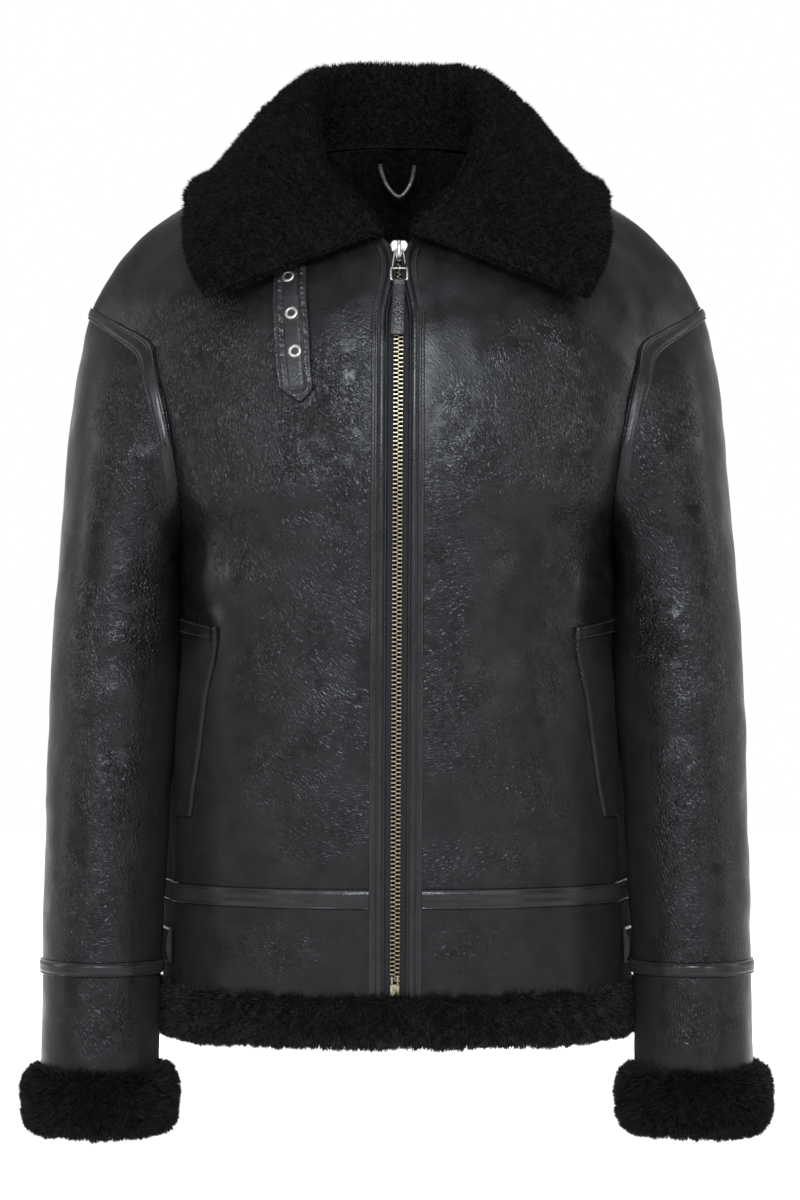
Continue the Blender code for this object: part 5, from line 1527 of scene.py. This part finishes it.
shoulder_r = 3.9
outline = (
    arc(3.2, 4.1, shoulder_r, -10, 120, 12)
    + [(0.0, 6.6)]
    + arc(-3.2, 4.1, shoulder_r, 60, 190, 12)
    + [(-6.2, 1.0), (-5.0, -8.0), (-4.2, -8.6), (4.2, -8.6), (5.0, -8.0), (6.2, 1.0)]
)
body_piece = turned_plate(outline, 1.4, 8.0, 1.1, "zip_slider_body", NICKEL)
settle(body_piece, "jacket", ["zip_slider"])


def bar_along(points, half_w, half_d, name, material, side=(1.0, 0, 0), sections=10, close_ends=True):
    """A rounded bar along a line of points, for wire and small straps."""
    p = np.array(points, float)
    along = unit(np.gradient(p, axis=0))
    s = np.broadcast_to(np.array(side, float), p.shape)
    s = unit(s - (s * along).sum(-1, keepdims=True) * along)
    up = np.cross(along, s)
    hw = np.broadcast_to(np.asarray(half_w, float), (len(p),))
    hd = np.broadcast_to(np.asarray(half_d, float), (len(p),))
    a = np.arange(sections) * 2 * math.pi / sections + math.pi / sections
    ca, sa = np.sign(np.cos(a)) * np.abs(np.cos(a)) ** 0.7, np.sign(np.sin(a)) * np.abs(np.sin(a)) ** 0.7
    ring = p[:, None] + ca[None, :, None] * (hw[:, None, None] * s[:, None]) + sa[None, :, None] * (hd[:, None, None] * up[:, None])
    n, m = ring.shape[:2]
    i, j = np.meshgrid(np.arange(n - 1), np.arange(m), indexing="ij")
    quads = np.stack([i * m + j, i * m + (j + 1) % m, (i + 1) * m + (j + 1) % m, (i + 1) * m + j], axis=-1).reshape(-1, 4)
    pts = np.concatenate([ring.reshape(-1, 3), p[:1], p[-1:]])
    caps = [[(j + 1) % m, j, n * m] for j in range(m)] + [[(n - 1) * m + j, (n - 1) * m + (j + 1) % m, n * m + 1] for j in range(m)]
    caps = np.array(caps)
    tri = np.concatenate([quads[:, [0, 1, 2]], quads[:, [0, 2, 3]], caps])
    vol = (pts[tri[:, 0]] * np.cross(pts[tri[:, 1]], pts[tri[:, 2]])).sum()
    if vol < 0:
        quads, caps = quads[:, ::-1], caps[:, ::-1]
    return build_mesh(name, pts, [quads, caps], [material], sharp=55)


bridge = [PIVOT + np.array([0, dy, dz]) for dy, dz in ((2.2, 7.4), (0.2, 6.9), (-1.6, 5.6), (-2.7, 3.4), (-3.0, 0.6), (-3.0, -2.2), (-2.3, -4.6), (-0.4, -6.2), (2.0, -6.9))]
made = bar_along(through(np.arange(9), np.array(bridge), np.linspace(0, 8, 33)), 1.45, 0.75, "zip_slider_bridge", NICKEL, sections=12)
settle(made, "jacket")

# pull: two wires spread down from the bridge to a crossbar, then a short frame that holds the tab
c = PIVOT[0]


def pull_y(z):
    return float(front_y(z)) - 3.0 - PIVOT[1]


def at_pull(x, z, dy=0.0):
    return PIVOT + np.array([x, pull_y(PIVOT_Z + z) + dy, z])


legs = []
for way in (-1, 1):
    line = [at_pull(way * 0.2, 1.0, -0.2), at_pull(way * 1.9, 0.6, -0.2), at_pull(way * 3.2, -1.2), at_pull(way * 4.4, -8), at_pull(way * 5.4, -14.6)]
    legs.append(bar_along(through(np.arange(5), np.array(line), np.linspace(0, 4, 25)), 0.75, 0.7, f"pull_leg_{'left' if way > 0 else 'right'}", NICKEL, sections=10))
    line = [at_pull(way * 5.5, -14.2, -0.2), at_pull(way * 6.1, -14.8, -0.7), at_pull(way * 6.3, -18.5, -1.0), at_pull(way * 6.2, -22.8, -0.7), at_pull(way * 5.0, -23.4, -0.2)]
    legs.append(bar_along(through(np.arange(5), np.array(line), np.linspace(0, 4, 25)), 0.85, 0.7, f"pull_side_{'left' if way > 0 else 'right'}", NICKEL, sections=10))
cross = bar_along([at_pull(-6.0, -14.6), at_pull(-3, -14.4), at_pull(0, -14.4), at_pull(3, -14.4), at_pull(6.0, -14.6)], 0.62, 0.7, "pull_crossbar", NICKEL, side=(0, 0, 1.0), sections=10)
low = bar_along([at_pull(-5.6, -23.3), at_pull(0, -23.4), at_pull(5.6, -23.3)], 0.6, 0.6, "pull_lower_bar", NICKEL, side=(0, 0, 1.0), sections=10)
for k, piece in enumerate(legs + [cross, low]):
    settle(piece, "zip_pull", ["pull_frame"] if k == 0 else ())

# leather tab, folded round the lower bar: rounded edges, a stitched line down the middle
tz = np.concatenate([np.linspace(-22.6, -66.6, 60)])
ta = np.concatenate([[-1, -0.98, -0.92], np.linspace(-0.85, 0.85, 17), [0.92, 0.98, 1]])
a, b = np.meshgrid(ta, tz, indexing="ij")
half = np.interp(b, [-67.5, -64, -50, -36, -22.6], [4.7, 5.3, 5.1, 4.9, 4.7])
x = a * half - 1.35 * (-22.6 - b) / 44.0
face = -0.55 - 0.75 * step((1 - np.abs(a)) * half, 0, 0.7) * step(b, -67.2, -66.0) + 0.28 * np.exp(-((((1 - np.abs(a)) * half) - 1.5) / 0.45) ** 2)
face = face - 0.9 * np.exp(-(((b + 23.6) / 1.9) ** 2)) + 0.05 * wander(np.stack([x, b, 0 * b], axis=-1), 3.2, 71)
y_line = np.vectorize(lambda z: pull_y(PIVOT_Z + z))(b)
front = np.stack([x, y_line + face, b], axis=-1) + PIVOT
rear = np.stack([x, y_line + 0.75, b], axis=-1) + PIVOT
normals = np.zeros_like(front)
normals[..., 1] = -1
tab = two_layers("pull_tab_leather", front.reshape(-1, 3), rear.reshape(-1, 3), normals.reshape(-1, 3), grid_quads(*a.shape), [TAB], (0, 0, 0), None, sharp=55)
settle(tab, "zip_pull", ["pull_tab"])
for way in (0.0,):
    z_run = np.linspace(-31, -62, 90)
    hw = np.interp(z_run, [-67.5, -64, -50, -36, -22.6], [4.7, 5.3, 5.1, 4.9, 4.7])
    xx = way * (hw - 1.5) - 1.35 * (-22.6 - z_run) / 44.0
    yy = np.array([pull_y(PIVOT_Z + z) for z in z_run]) - (1.12 if way else 1.42)
    stitch_run("pull", PIVOT + np.stack([xx, yy, z_run], axis=-1), np.tile([0, -1.0, 0], (90, 1)))

# ---- side adjusters: strap, keeper and buckle over the side seam of the hem band --------------------------
Z_TOP, Z_FOOT = -581.0, -607.0
for label, side in (("left", 1.0), ("right", -1.0)):

    def at(a, b, h, side=side):
        """a: height; b: u on the back, falling towards the middle of the back."""
        return on_body(b, BACK_HEM_W - (a - HEM_Z), side, h)

    across, heights = profile_points([(Z_FOOT, 0.5), (Z_FOOT + 0.8, 2.6), (Z_FOOT + 1.9, 2.2), (Z_FOOT + 4, 3.0), ((Z_TOP + Z_FOOT) / 2, 3.1),
                                      (Z_TOP - 4, 3.0), (Z_TOP - 1.9, 2.2), (Z_TOP - 0.8, 2.6), (Z_TOP, 0.5)], 21)
    made = raised(f"side_strap_{label}_leather", at, across, heights, np.linspace(0.36, 0.905, 50), TAB, base=0.5)
    settle(made, "jacket", [f"side_strap_{label}"])
    for d in (Z_FOOT + 1.9, Z_TOP - 1.9):
        p, n = line_on(at, d, np.linspace(0.37, 0.9, 150), 2.4)
        stitch_run("body", p, n)

    def at(a, b, h, side=side):
        return on_body(b, a - HEM_Z, side, h)

    across, heights = profile_points([(Z_FOOT - 1, 0.5), (Z_FOOT, 3.4), (Z_FOOT + 1.4, 2.9), (Z_FOOT + 4, 3.7), (Z_TOP - 4, 3.7), (Z_TOP - 1.4, 2.9), (Z_TOP, 3.4), (Z_TOP + 1, 0.5)], 21)
    made = raised(f"side_keeper_{label}_leather", at, across, heights, np.linspace(0.80, 0.925, 16), TAB, base=0.5)
    settle(made, "jacket", [f"side_keeper_{label}"])
    for d in (Z_FOOT + 1.2, Z_TOP - 1.2):
        p, n = line_on(at, d, np.linspace(0.81, 0.915, 40), 3.1)
        stitch_run("body", p, n)
    # oblong buckle, a rounded wire frame with a middle bar
    low_corner, high_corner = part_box(f"side_buckle_{label}")
    lo, hi = np.array(low_corner) / MM, np.array(high_corner) / MM
    mid = (lo + hi) / 2
    ry, rz = (hi[1] - lo[1]) / 2 - 1.1, (hi[2] - lo[2]) / 2 - 1.1
    corner = 2.6
    loop = []
    for sy, sz, a0 in ((1, 1, 0), (-1, 1, 90), (-1, -1, 180), (1, -1, 270)):
        for v in np.linspace(a0, a0 + 90, 6):
            r = math.radians(v)
            loop.append([mid[0], mid[1] + sy * (ry - corner) + corner * math.cos(r), mid[2] + sz * (rz - corner) + corner * math.sin(r)])
    loop = np.array(loop)
    dense = []
    for k in range(len(loop)):
        a, b = loop[k], loop[(k + 1) % len(loop)]
        parts = 4 if np.linalg.norm(b - a) > 3 else 1
        dense += [a + (b - a) * f / parts for f in range(parts)]
    dense = np.array(dense + [dense[0]])
    buckle = bar_along(dense, 0.75, 1.05, f"side_buckle_{label}_frame", NICKEL, side=(1.0, 0, 0), sections=10)
    settle(buckle, "jacket", [f"side_buckle_{label}"])
    middle = bar_along([mid + np.array([0, 0, v]) for v in np.linspace(-rz, rz, 9)], 0.7, 0.8, f"side_buckle_{label}_bar", NICKEL, sections=10)
    settle(middle, "jacket")

# ---- hanger loop inside the back of the neck -----------------------------------------------------------------
knots = [(-13.5, 66, 35), (-13, 64.5, 30), (-9, 62, 19), (-3, 61.5, 11), (1.5, 61.5, 8.5), (6, 61.5, 11), (11, 62, 19), (13.5, 64.5, 29), (14, 66, 34)]
loop = bar_along(through(np.arange(9), np.array(knots, float), np.linspace(0, 8, 97)), 1.3, 2.1, "hanger_loop_leather", TAB, side=(0, 1.0, 0), sections=12)
settle(loop, "jacket", ["hanger_loop"])


# ---- fur ---------------------------------------------------------------------------------------------------------
def surface_samples(points, quads, pick, count, seed):
    """Seeded places spread over quads by area: point weights of the quad's corners."""
    a, b, c, d = (points[quads[:, k]] for k in range(4))
    area = np.linalg.norm(np.cross(c - a, d - b), axis=1) * pick
    rng = np.random.default_rng(seed)
    chosen = np.searchsorted(np.cumsum(area) / area.sum(), rng.random(count))
    chosen = np.clip(chosen, 0, len(quads) - 1)
    s, t = rng.random(count)[:, None], rng.random(count)[:, None]
    return chosen, s, t, rng


def grow(name, points, normals, nap, quads, count, seed, material, length, width, lean_share, spread, clump, sink=0.0, pick=None, reach=None, segments=1, gather=0.7):
    """Fur blades: thin tapered triangles that stand on a surface, lean along the nap and gather in tufts."""
    pick = np.ones(len(quads)) if pick is None else pick
    chosen, s, t, rng = surface_samples(points, quads, pick, count, seed)
    q = quads[chosen]

    def mixed(v):
        return (v[q[:, 0]] * (1 - s) + v[q[:, 1]] * s) * (1 - t) + (v[q[:, 3]] * (1 - s) + v[q[:, 2]] * s) * t

    root, n, way = mixed(points), unit(mixed(normals)), mixed(nap)
    way = unit(way - (way * n).sum(-1, keepdims=True) * n)
    size = length * (0.75 + 0.5 * rng.random(count))
    if reach is not None:
        size = size * mixed(np.stack([reach] * 3, axis=-1))[:, 0]
    root = root - sink * n
    loose = rng.normal(size=(count, 3))
    loose -= (loose * n).sum(-1, keepdims=True) * n
    # tufts: each root leans to the middle of its own cell of space
    bent = root + 0.45 * clump * np.stack([wander(root, clump * 2.3, seed + 11), wander(root, clump * 2.1, seed + 12), wander(root, clump * 2.6, seed + 13)], axis=-1)
    turned = np.stack([bent[:, 0] * 0.82 + bent[:, 2] * 0.57, bent[:, 1], bent[:, 2] * 0.82 - bent[:, 0] * 0.57], axis=-1)
    cell = np.floor(turned / clump)
    key = (cell * np.array([12.9898, 78.233, 37.719])).sum(1)
    jitter = np.stack([np.modf(np.abs(np.sin(key + k) * 43758.5453))[0] - 0.5 for k in range(3)], axis=-1)
    target = (cell + 0.5 + 0.6 * jitter) * clump
    gap = target - turned
    to_tuft = np.stack([gap[:, 0] * 0.82 - gap[:, 2] * 0.57, gap[:, 1], gap[:, 2] * 0.82 + gap[:, 0] * 0.57], axis=-1)
    to_tuft -= (to_tuft * n).sum(-1, keepdims=True) * n
    height = 0.86 + 0.28 * np.modf(np.abs(np.sin(key * 1.7) * 9437.1))[0]
    direction = unit(n + lean_share * way + spread * loose + gather * to_tuft / clump)
    size = size * height
    tip = root + direction * size[:, None]
    across = unit(np.cross(direction, rng.normal(size=(count, 3))))
    half = width * (0.7 + 0.6 * rng.random(count))[:, None] / 2
    own = 0.55 * rng.random(count) + 0.45 * np.modf(np.abs(np.sin(key * 2.3) * 1371.7))[0]
    if segments == 1:
        pts = np.stack([root - across * half, root + across * half, tip], axis=1).reshape(-1, 3)
        tips = np.tile([0.0, 0.0, 1.0], count)
        faces = np.arange(count * 3).reshape(-1, 3)
        made = build_mesh(name, pts, [faces], [material], values={"tip": tips, "own": np.repeat(own, 3)}, smooth=False)
    else:
        droop = direction * 0.62 * size[:, None] + n * 0.10 * size[:, None]
        mid = root + droop
        pts = np.stack([root - across * half, root + across * half, mid + across * half * 0.7, mid - across * half * 0.7, tip], axis=1).reshape(-1, 3)
        base = (np.arange(count) * 5)[:, None]
        faces = [base + np.array([[0, 1, 2, 3]]), base + np.array([[3, 2, 4]])]
        tips = np.tile([0.0, 0.0, 0.62, 0.62, 1.0], count)
        made = build_mesh(name, pts, faces, [material], values={"tip": tips, "own": np.repeat(own, 5)}, smooth=False)
    return made


def grid_normals(p):
    return unit(np.cross(np.gradient(p, axis=0), np.gradient(p, axis=1)))


# collar: the fold and the fall, fur outwards and on the neck's side, leather beneath
cs = np.linspace(0, 8, 121)
ct = np.concatenate([np.linspace(0, STAND_T, 13), np.linspace(STAND_T, FOLD_T, 13)[1:], np.linspace(FOLD_T, 1, 33)[1:]])
s_grid, t_grid = np.meshgrid(cs, ct, indexing="ij")
under = collar_skin(s_grid, t_grid)
whole = np.concatenate([under, under[::-1][1:] * np.array([-1.0, 1.0, 1.0])])
rows_t = np.concatenate([t_grid, t_grid[::-1][1:]])
n = grid_normals(whole)
if (n[60, 44] @ np.array([1.0, 0, 1.0])) < 0:
    n = -n
reach = through(COLLAR_S, COLLAR_ROWS, s_grid)[..., 10]
reach = np.concatenate([reach, reach[::-1][1:]])
reach = np.where(rows_t < STAND_T, WALL + (reach - WALL) * rows_t / STAND_T, reach)
reach = reach * np.where(rows_t > 0.93, 1 - 0.35 * (rows_t - 0.93) / 0.07, 1.0)
# the pile is thick and rolls under at its edges
edge_far = np.minimum(1 - rows_t, 1.0) * 150.0
ends_far = np.minimum(np.arange(len(whole)), np.arange(len(whole))[::-1])[:, None] * 1.3 + 0 * rows_t
roll = step(np.minimum(edge_far, ends_far), -2.0, 9.0)
pad = (reach - 2.4) * (0.55 + 0.45 * roll)
pad = pad + 1.5 * wander(whole, 17, 31) * roll + 0.9 * wander(whole, 8, 32)
pelt = whole + np.maximum(pad, 1.5)[..., None] * n
nu, nv = rows_t.shape
quads = facing(pelt.reshape(-1, 3), grid_quads(nu, nv), n.reshape(-1, 3))
collar = two_layers("collar_fur", pelt.reshape(-1, 3), whole.reshape(-1, 3), n.reshape(-1, 3), quads, [PILE, SKIN], (0, 1, 0),
                    creases(pelt.reshape(-1, 3)), sharp=70)
settle(collar, "jacket", ["collar"])
pelt_n = grid_normals(pelt)
pelt_n *= np.sign((pelt_n * n).sum(-1, keepdims=True))
nap = np.gradient(pelt, axis=1)
outer_edge_pick = np.ones(len(quads))
made = grow("collar_hair", pelt.reshape(-1, 3), pelt_n.reshape(-1, 3), nap.reshape(-1, 3), quads, 106000, 101, HAIR,
            length=5.0, width=1.0, lean_share=0.5, spread=0.26, clump=6.5, sink=1.2, segments=1, gather=0.35)
settle(made, "jacket")
# hair along the collar's free edges, where the pile shows against the leather
rim_rows = []
for line, out in (
    (np.arange(nu) * nv + nv - 1, None),
    (np.arange(nv), None),
    ((nu - 1) * nv + np.arange(nv), None),
):
    rim_rows.append(line)
flat_pelt, flat_n = pelt.reshape(-1, 3), n.reshape(-1, 3)
flat_under = whole.reshape(-1, 3)
edge_points, edge_normals, edge_naps, edge_quads = [], [], [], []
total = 0
for k, line in enumerate(rim_rows):
    top, low = flat_pelt[line], flat_under[line]
    if k == 0:
        away = unit(flat_pelt[line] - flat_pelt[line - 1])
    elif k == 1:
        away = unit(flat_pelt[line] - flat_pelt[line + nv])
    else:
        away = unit(flat_pelt[line] - flat_pelt[line - nv])
    m = len(line)
    pts = np.concatenate([top, low])
    edge_points.append(pts)
    edge_normals.append(np.concatenate([unit(away + 0.5 * flat_n[line]), unit(away - 0.1 * flat_n[line])]))
    edge_naps.append(np.concatenate([away, away]))
    i = np.arange(m - 1)
    edge_quads.append(np.stack([i, i + 1, i + 1 + m, i + m], axis=-1) + total)
    total += 2 * m
made = grow("collar_edge_hair", np.concatenate(edge_points), np.concatenate(edge_normals), np.concatenate(edge_naps), np.concatenate(edge_quads),
            17000, 102, HAIR, length=4.0, width=0.9, lean_share=0.2, spread=0.34, clump=5.0, sink=1.0, gather=0.4)
settle(made, "jacket")

# cuffs: a thick roll of fur below the wrist
CUFF_PROFILE = [(0, -WALL), (-1.2, 1.5), (0.4, 6.0), (4, 9.0), (9, 10.6), (16, 11.6), (24, 11.8), (32, 11.4), (38, 10.2), (43, 7.4), (45.6, 3.6), (46.4, -0.8), (45, -5.0), (41, -8.0), (30, -WALL), (15, -WALL)]
CUFF_STEPS = 120


def furry_ring(name, node, at, count_around, profile, closed, hair, material, fur_material, seed, length, width, clump, lumps, nap_down=1.0, ends=None):
    """A roll of fur from a closed profile carried along a line. at(k, down, reach) gives points."""
    prof = np.array(profile, float)
    m = len(prof)
    ks = np.linspace(0, 1, count_around + (0 if closed else 1), endpoint=not closed)
    p = at(ks[:, None] + 0 * prof[None, :, 0], prof[None, :, 0] + 0 * ks[:, None], prof[None, :, 1] + 0 * ks[:, None])
    nu = len(ks)
    around = np.roll(p, -1, axis=0) - np.roll(p, 1, axis=0) if closed else np.gradient(p, axis=0)
    section = np.roll(p, -1, axis=1) - np.roll(p, 1, axis=1)
    n = unit(np.cross(around, section))
    centre = p.mean(axis=1, keepdims=True)
    if (n * (p - centre)).sum() < 0:
        n = -n
    soft = (prof[:, 1] > -WALL + 0.5)[None, :]
    p = p + (lumps * wander(p, 13, seed) + 0.6 * lumps * wander(p, 6.5, seed + 1))[..., None] * n * soft[..., None]
    i, j = np.meshgrid(np.arange(nu if closed else nu - 1), np.arange(m), indexing="ij")
    k, l = (i + 1) % nu, (j + 1) % m
    quads = np.stack([i * m + j, k * m + j, k * m + l, i * m + l], axis=-1).reshape(-1, 4)
    flat, fn = p.reshape(-1, 3), n.reshape(-1, 3)
    quads = facing(flat, quads, fn)
    faces = [quads]
    if not closed:
        flat = np.concatenate([flat, p[0].mean(0)[None], p[-1].mean(0)[None]])
        fn = np.concatenate([fn, fn[:1], fn[-1:]])
        caps = [[(q + 1) % m, q, nu * m] for q in range(m)] + [[(nu - 1) * m + q, (nu - 1) * m + (q + 1) % m, nu * m + 1] for q in range(m)]
        caps = np.array(caps)
        mid = p.mean(axis=(0, 1))
        for row in range(len(caps)):
            f = caps[row]
            nrm = np.cross(flat[f[1]] - flat[f[0]], flat[f[2]] - flat[f[0]])
            outward = (p[0].mean(0) - p[1].mean(0)) if f[2] == nu * m else (p[-1].mean(0) - p[-2].mean(0))
            if nrm @ outward < 0:
                caps[row] = f[::-1]
        faces.append(caps)
    base = build_mesh(name, flat, faces, [material], sharp=80)
    settle(base, "jacket", [node])
    down = np.zeros_like(flat)
    down[:, 2] = -nap_down
    out_share = np.array([1.0 if prof[a][1] > -WALL + 2.0 or prof[a][0] > 40 else 0.12 for a in range(m)])
    pick = np.tile(out_share[(np.arange(m))], nu if closed else nu - 1)[: len(quads)]
    made = grow(name + "_hair", flat, fn, down, quads, hair, seed + 5, fur_material, length=length, width=width, lean_share=0.45, spread=0.34, clump=clump, sink=1.2, pick=pick, segments=1)
    settle(made, "jacket")
    return p


ring_w = np.linspace(ARMPIT_W, BACK_ARMPIT_W, CUFF_STEPS + 1)
for label, side in (("left", 1.0), ("right", -1.0)):

    def at(k, down, reach, side=side):
        w = ARMPIT_W + k * (BACK_ARMPIT_W - ARMPIT_W)
        p, n = sleeve(w, 609.5 + 0 * w), sleeve_normal(w, 608.0 + 0 * w)
        n = unit(n * np.array([1.0, 1.0, 0.0]))
        q = p + reach[..., None] * n
        q[..., 2] -= down
        return q * np.array([side, 1.0, 1.0])

    furry_ring(f"cuff_fur_{label}_roll", f"cuff_fur_{label}", at, CUFF_STEPS, CUFF_PROFILE, True, 58000, PILE, CUFF_HAIR, 210 if side > 0 else 240,
               7.2, 1.15, 7.5, 1.6)

# hem fur, split under the zip
HEM_PROFILE = [(0.4, -WALL + 0.5), (-1.0, 1.2), (0.2, 3.0), (3.0, 4.8), (8, 5.8), (15, 6.2), (22, 6.2), (28, 5.6), (33, 4.2), (36.2, 1.6), (37.2, -1.6), (36.0, -5.0), (30, -7.6), (18, -WALL)]
hem_len = np.array([0.0, 1.0, 2.0, 3.0, 4.0])


def hem_at(k, down, reach):
    """k: 0 at the left front edge, a quarter at the left side, a half at the centre back, 1 at the right front edge."""
    quarter = k * 4.0
    left = quarter < 2.0
    run = np.where(left, quarter, 4.0 - quarter)
    front = run < 1.0
    u = np.where(front, run, 2.0 - run)
    w = np.where(front, BAND_FOOT_W, BACK_HEM_W - BAND_FOOT_W)
    side = np.where(left, 1.0, -1.0)
    p, n = body(np.clip(u, 0, 1), w), body_normal(np.clip(u, 0, 1), w)
    n = unit(n * np.array([1.0, 1.0, 0.0]))
    q = p + reach[..., None] * n
    q[..., 2] -= down
    q[..., 0] *= side
    fade = (1 - np.clip(u, 0, 1)) ** 2 * np.clip((-20 - q[..., 2]) / 40.0, 0, 1) * front
    q[..., 0] += lean(q[..., 2]) * fade
    # the two ends meet under the zip
    close = np.clip(1 - np.abs(quarter - 0) / 0.06, 0, 1) - np.clip(1 - np.abs(quarter - 4) / 0.06, 0, 1)
    q[..., 0] -= close * (PLACKET_IN + 0.5)
    # the hem's fur waves a little up and down
    q[..., 2] += np.where(down > 20, 1.3 * wander(q, 30, 77), 0)
    return q


furry_ring("hem_fur_roll", "hem_fur", hem_at, 300, HEM_PROFILE, False, 106000, PILE, HEM_HAIR, 270, 6.4, 1.1, 8.0, 1.3)

# sheared fur of the inside where it shows: behind the neck and inside the top of the fronts
for name, us, ws, count, seed in (
    ("neck_inside_hair_back", np.linspace(0, 0.55, 24), np.linspace(NECK_BACK_W, 1010, 40), 20000, 301),
    ("neck_inside_hair_shoulder", np.linspace(0, 0.40, 16), np.linspace(628, NECK_BACK_W, 40), 14000, 303),
    ("neck_inside_hair_front", np.linspace(0.02, 0.5, 20), np.linspace(520, 628, 30), 7000, 302),
):
    pts, nrm, nps, qds = [], [], [], []
    total = 0
    for side in (1.0, -1.0):
        u, w = np.meshgrid(us, ws, indexing="ij")
        base, normal = on_body(u, w, side, 0.0, relief=False)
        p = base - (WALL - 0.6) * normal
        pts.append(p.reshape(-1, 3))
        nrm.append(-normal.reshape(-1, 3))
        down = np.zeros_like(p)
        down[..., 2] = -1
        nps.append(down.reshape(-1, 3))
        qds.append(grid_quads(*u.shape, base=total))
        total += u.size
    made = grow(name, np.concatenate(pts), np.concatenate(nrm), np.concatenate(nps), np.concatenate(qds), count, seed, HAIR,
                length=5.0, width=1.0, lean_share=0.4, spread=0.4, clump=6.0, sink=0.8, gather=0.4)
    settle(made, "jacket")
# the neck's rim, from the inner face to the outer
pts, nrm, nps, qds = [], [], [], []
total = 0
for side in (1.0, -1.0):
    w = np.linspace(632, NECK_BACK_W, 60)
    base, normal = on_body(np.zeros_like(w), w, side, 0.0, relief=False)
    next_in, _ = on_body(np.full_like(w, 0.02), w, side, 0.0, relief=False)
    out = unit(base - next_in)
    depth = np.linspace(1.0, WALL - 0.8, 5)
    p = base[:, None] - depth[None, :, None] * normal[:, None]
    pts.append(p.reshape(-1, 3))
    nrm.append(np.repeat(unit(out - 0.5 * normal), 5, axis=0))
    nps.append(np.repeat(-normal, 5, axis=0))
    qds.append(grid_quads(60, 5, base=total))
    total += p.shape[0] * 5
made = grow("neck_rim_hair", np.concatenate(pts), np.concatenate(nrm), np.concatenate(nps), np.concatenate(qds), 9000, 304, HAIR,
            length=5.2, width=1.0, lean_share=0.5, spread=0.35, clump=6.0, sink=0.5, gather=0.4)
settle(made, "jacket")

# ---- stitches: short raised threads along each run ---------------------------------------------------------------
def sew(name, runs, body_name, pitch=3.3, length=2.5, width=0.62, tall=0.34):
    places = []
    for points, normals in runs:
        steps = np.linalg.norm(np.diff(points, axis=0), axis=1)
        far = np.concatenate([[0], np.cumsum(steps)])
        if far[-1] < pitch:
            continue
        at = np.arange(pitch / 2, far[-1] - pitch / 3, pitch)
        p = np.stack([np.interp(at, far, points[:, k]) for k in range(3)], axis=-1)
        q = np.stack([np.interp(at + 0.4, far, points[:, k]) for k in range(3)], axis=-1)
        n = unit(np.stack([np.interp(at, far, normals[:, k]) for k in range(3)], axis=-1))
        along = unit(q - p)
        side = unit(np.cross(along, n))
        n = np.cross(side, along)
        places.append((p, np.stack([along * (length / 2), side * (width / 2), n * tall], axis=-1)))
    centres = np.concatenate([a for a, _ in places])
    axes = np.concatenate([b for _, b in places])
    # a stitch: a lozenge that dives into the leather at both ends
    t = np.array([[-1, 0, -0.9], [-0.6, -0.8, 0.1], [-0.6, 0.8, 0.1], [-0.45, 0, 0.95], [0.45, 0, 0.95], [0.6, -0.8, 0.1], [0.6, 0.8, 0.1], [1, 0, -0.9]])
    faces = np.array([[0, 1, 3], [0, 3, 2], [1, 5, 4], [1, 4, 3], [3, 4, 6], [3, 6, 2], [5, 7, 4], [4, 7, 6], [0, 2, 1], [1, 2, 6], [1, 6, 5], [5, 6, 7]])
    vol = (t[faces[:, 0]] * np.cross(t[faces[:, 1]], t[faces[:, 2]])).sum()
    if vol < 0:
        faces = faces[:, ::-1]
    det = np.linalg.det(axes[0])
    if det < 0:
        faces = faces[:, ::-1]
    pts = centres[:, None] + np.einsum("nij,kj->nki", axes, t)
    shift = (np.arange(len(centres)) * len(t))[:, None, None]
    made = build_mesh(name, pts.reshape(-1, 3), [(faces[None] + shift).reshape(-1, 3)], [THREAD], sharp=60)
    settle(made, body_name)
    return made


sew("stitches", STITCHES["body"], "jacket")
sew("pull_stitches", STITCHES["pull"], "zip_pull", pitch=2.4, length=1.8, width=0.5, tall=0.25)

# ---- floor ----------------------------------------------------------------------------------------------------------
g = Graph("floor_paint")
at = g.place_mm()
shade = g.ranged(g.noise(at, 420.0, 2.0, 0.5), 0.3, 0.7)
g.finish(Base_Color=g.blend(shade, (0.84, 0.84, 0.84, 1), (0.88, 0.88, 0.88, 1)), Roughness=0.8, Specular_IOR_Level=0.2, Emission_Color=(1.0, 1.0, 1.0, 1.0), Emission_Strength=0.35)
floor_points = np.array([(-6000, -6000, -830), (6000, -6000, -830), (6000, 6000, -830), (-6000, 6000, -830)], float)
floor = build_mesh("floor", floor_points, [np.array([[0, 1, 2, 3]])], [g.made], smooth=False)
floor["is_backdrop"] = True

low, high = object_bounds()
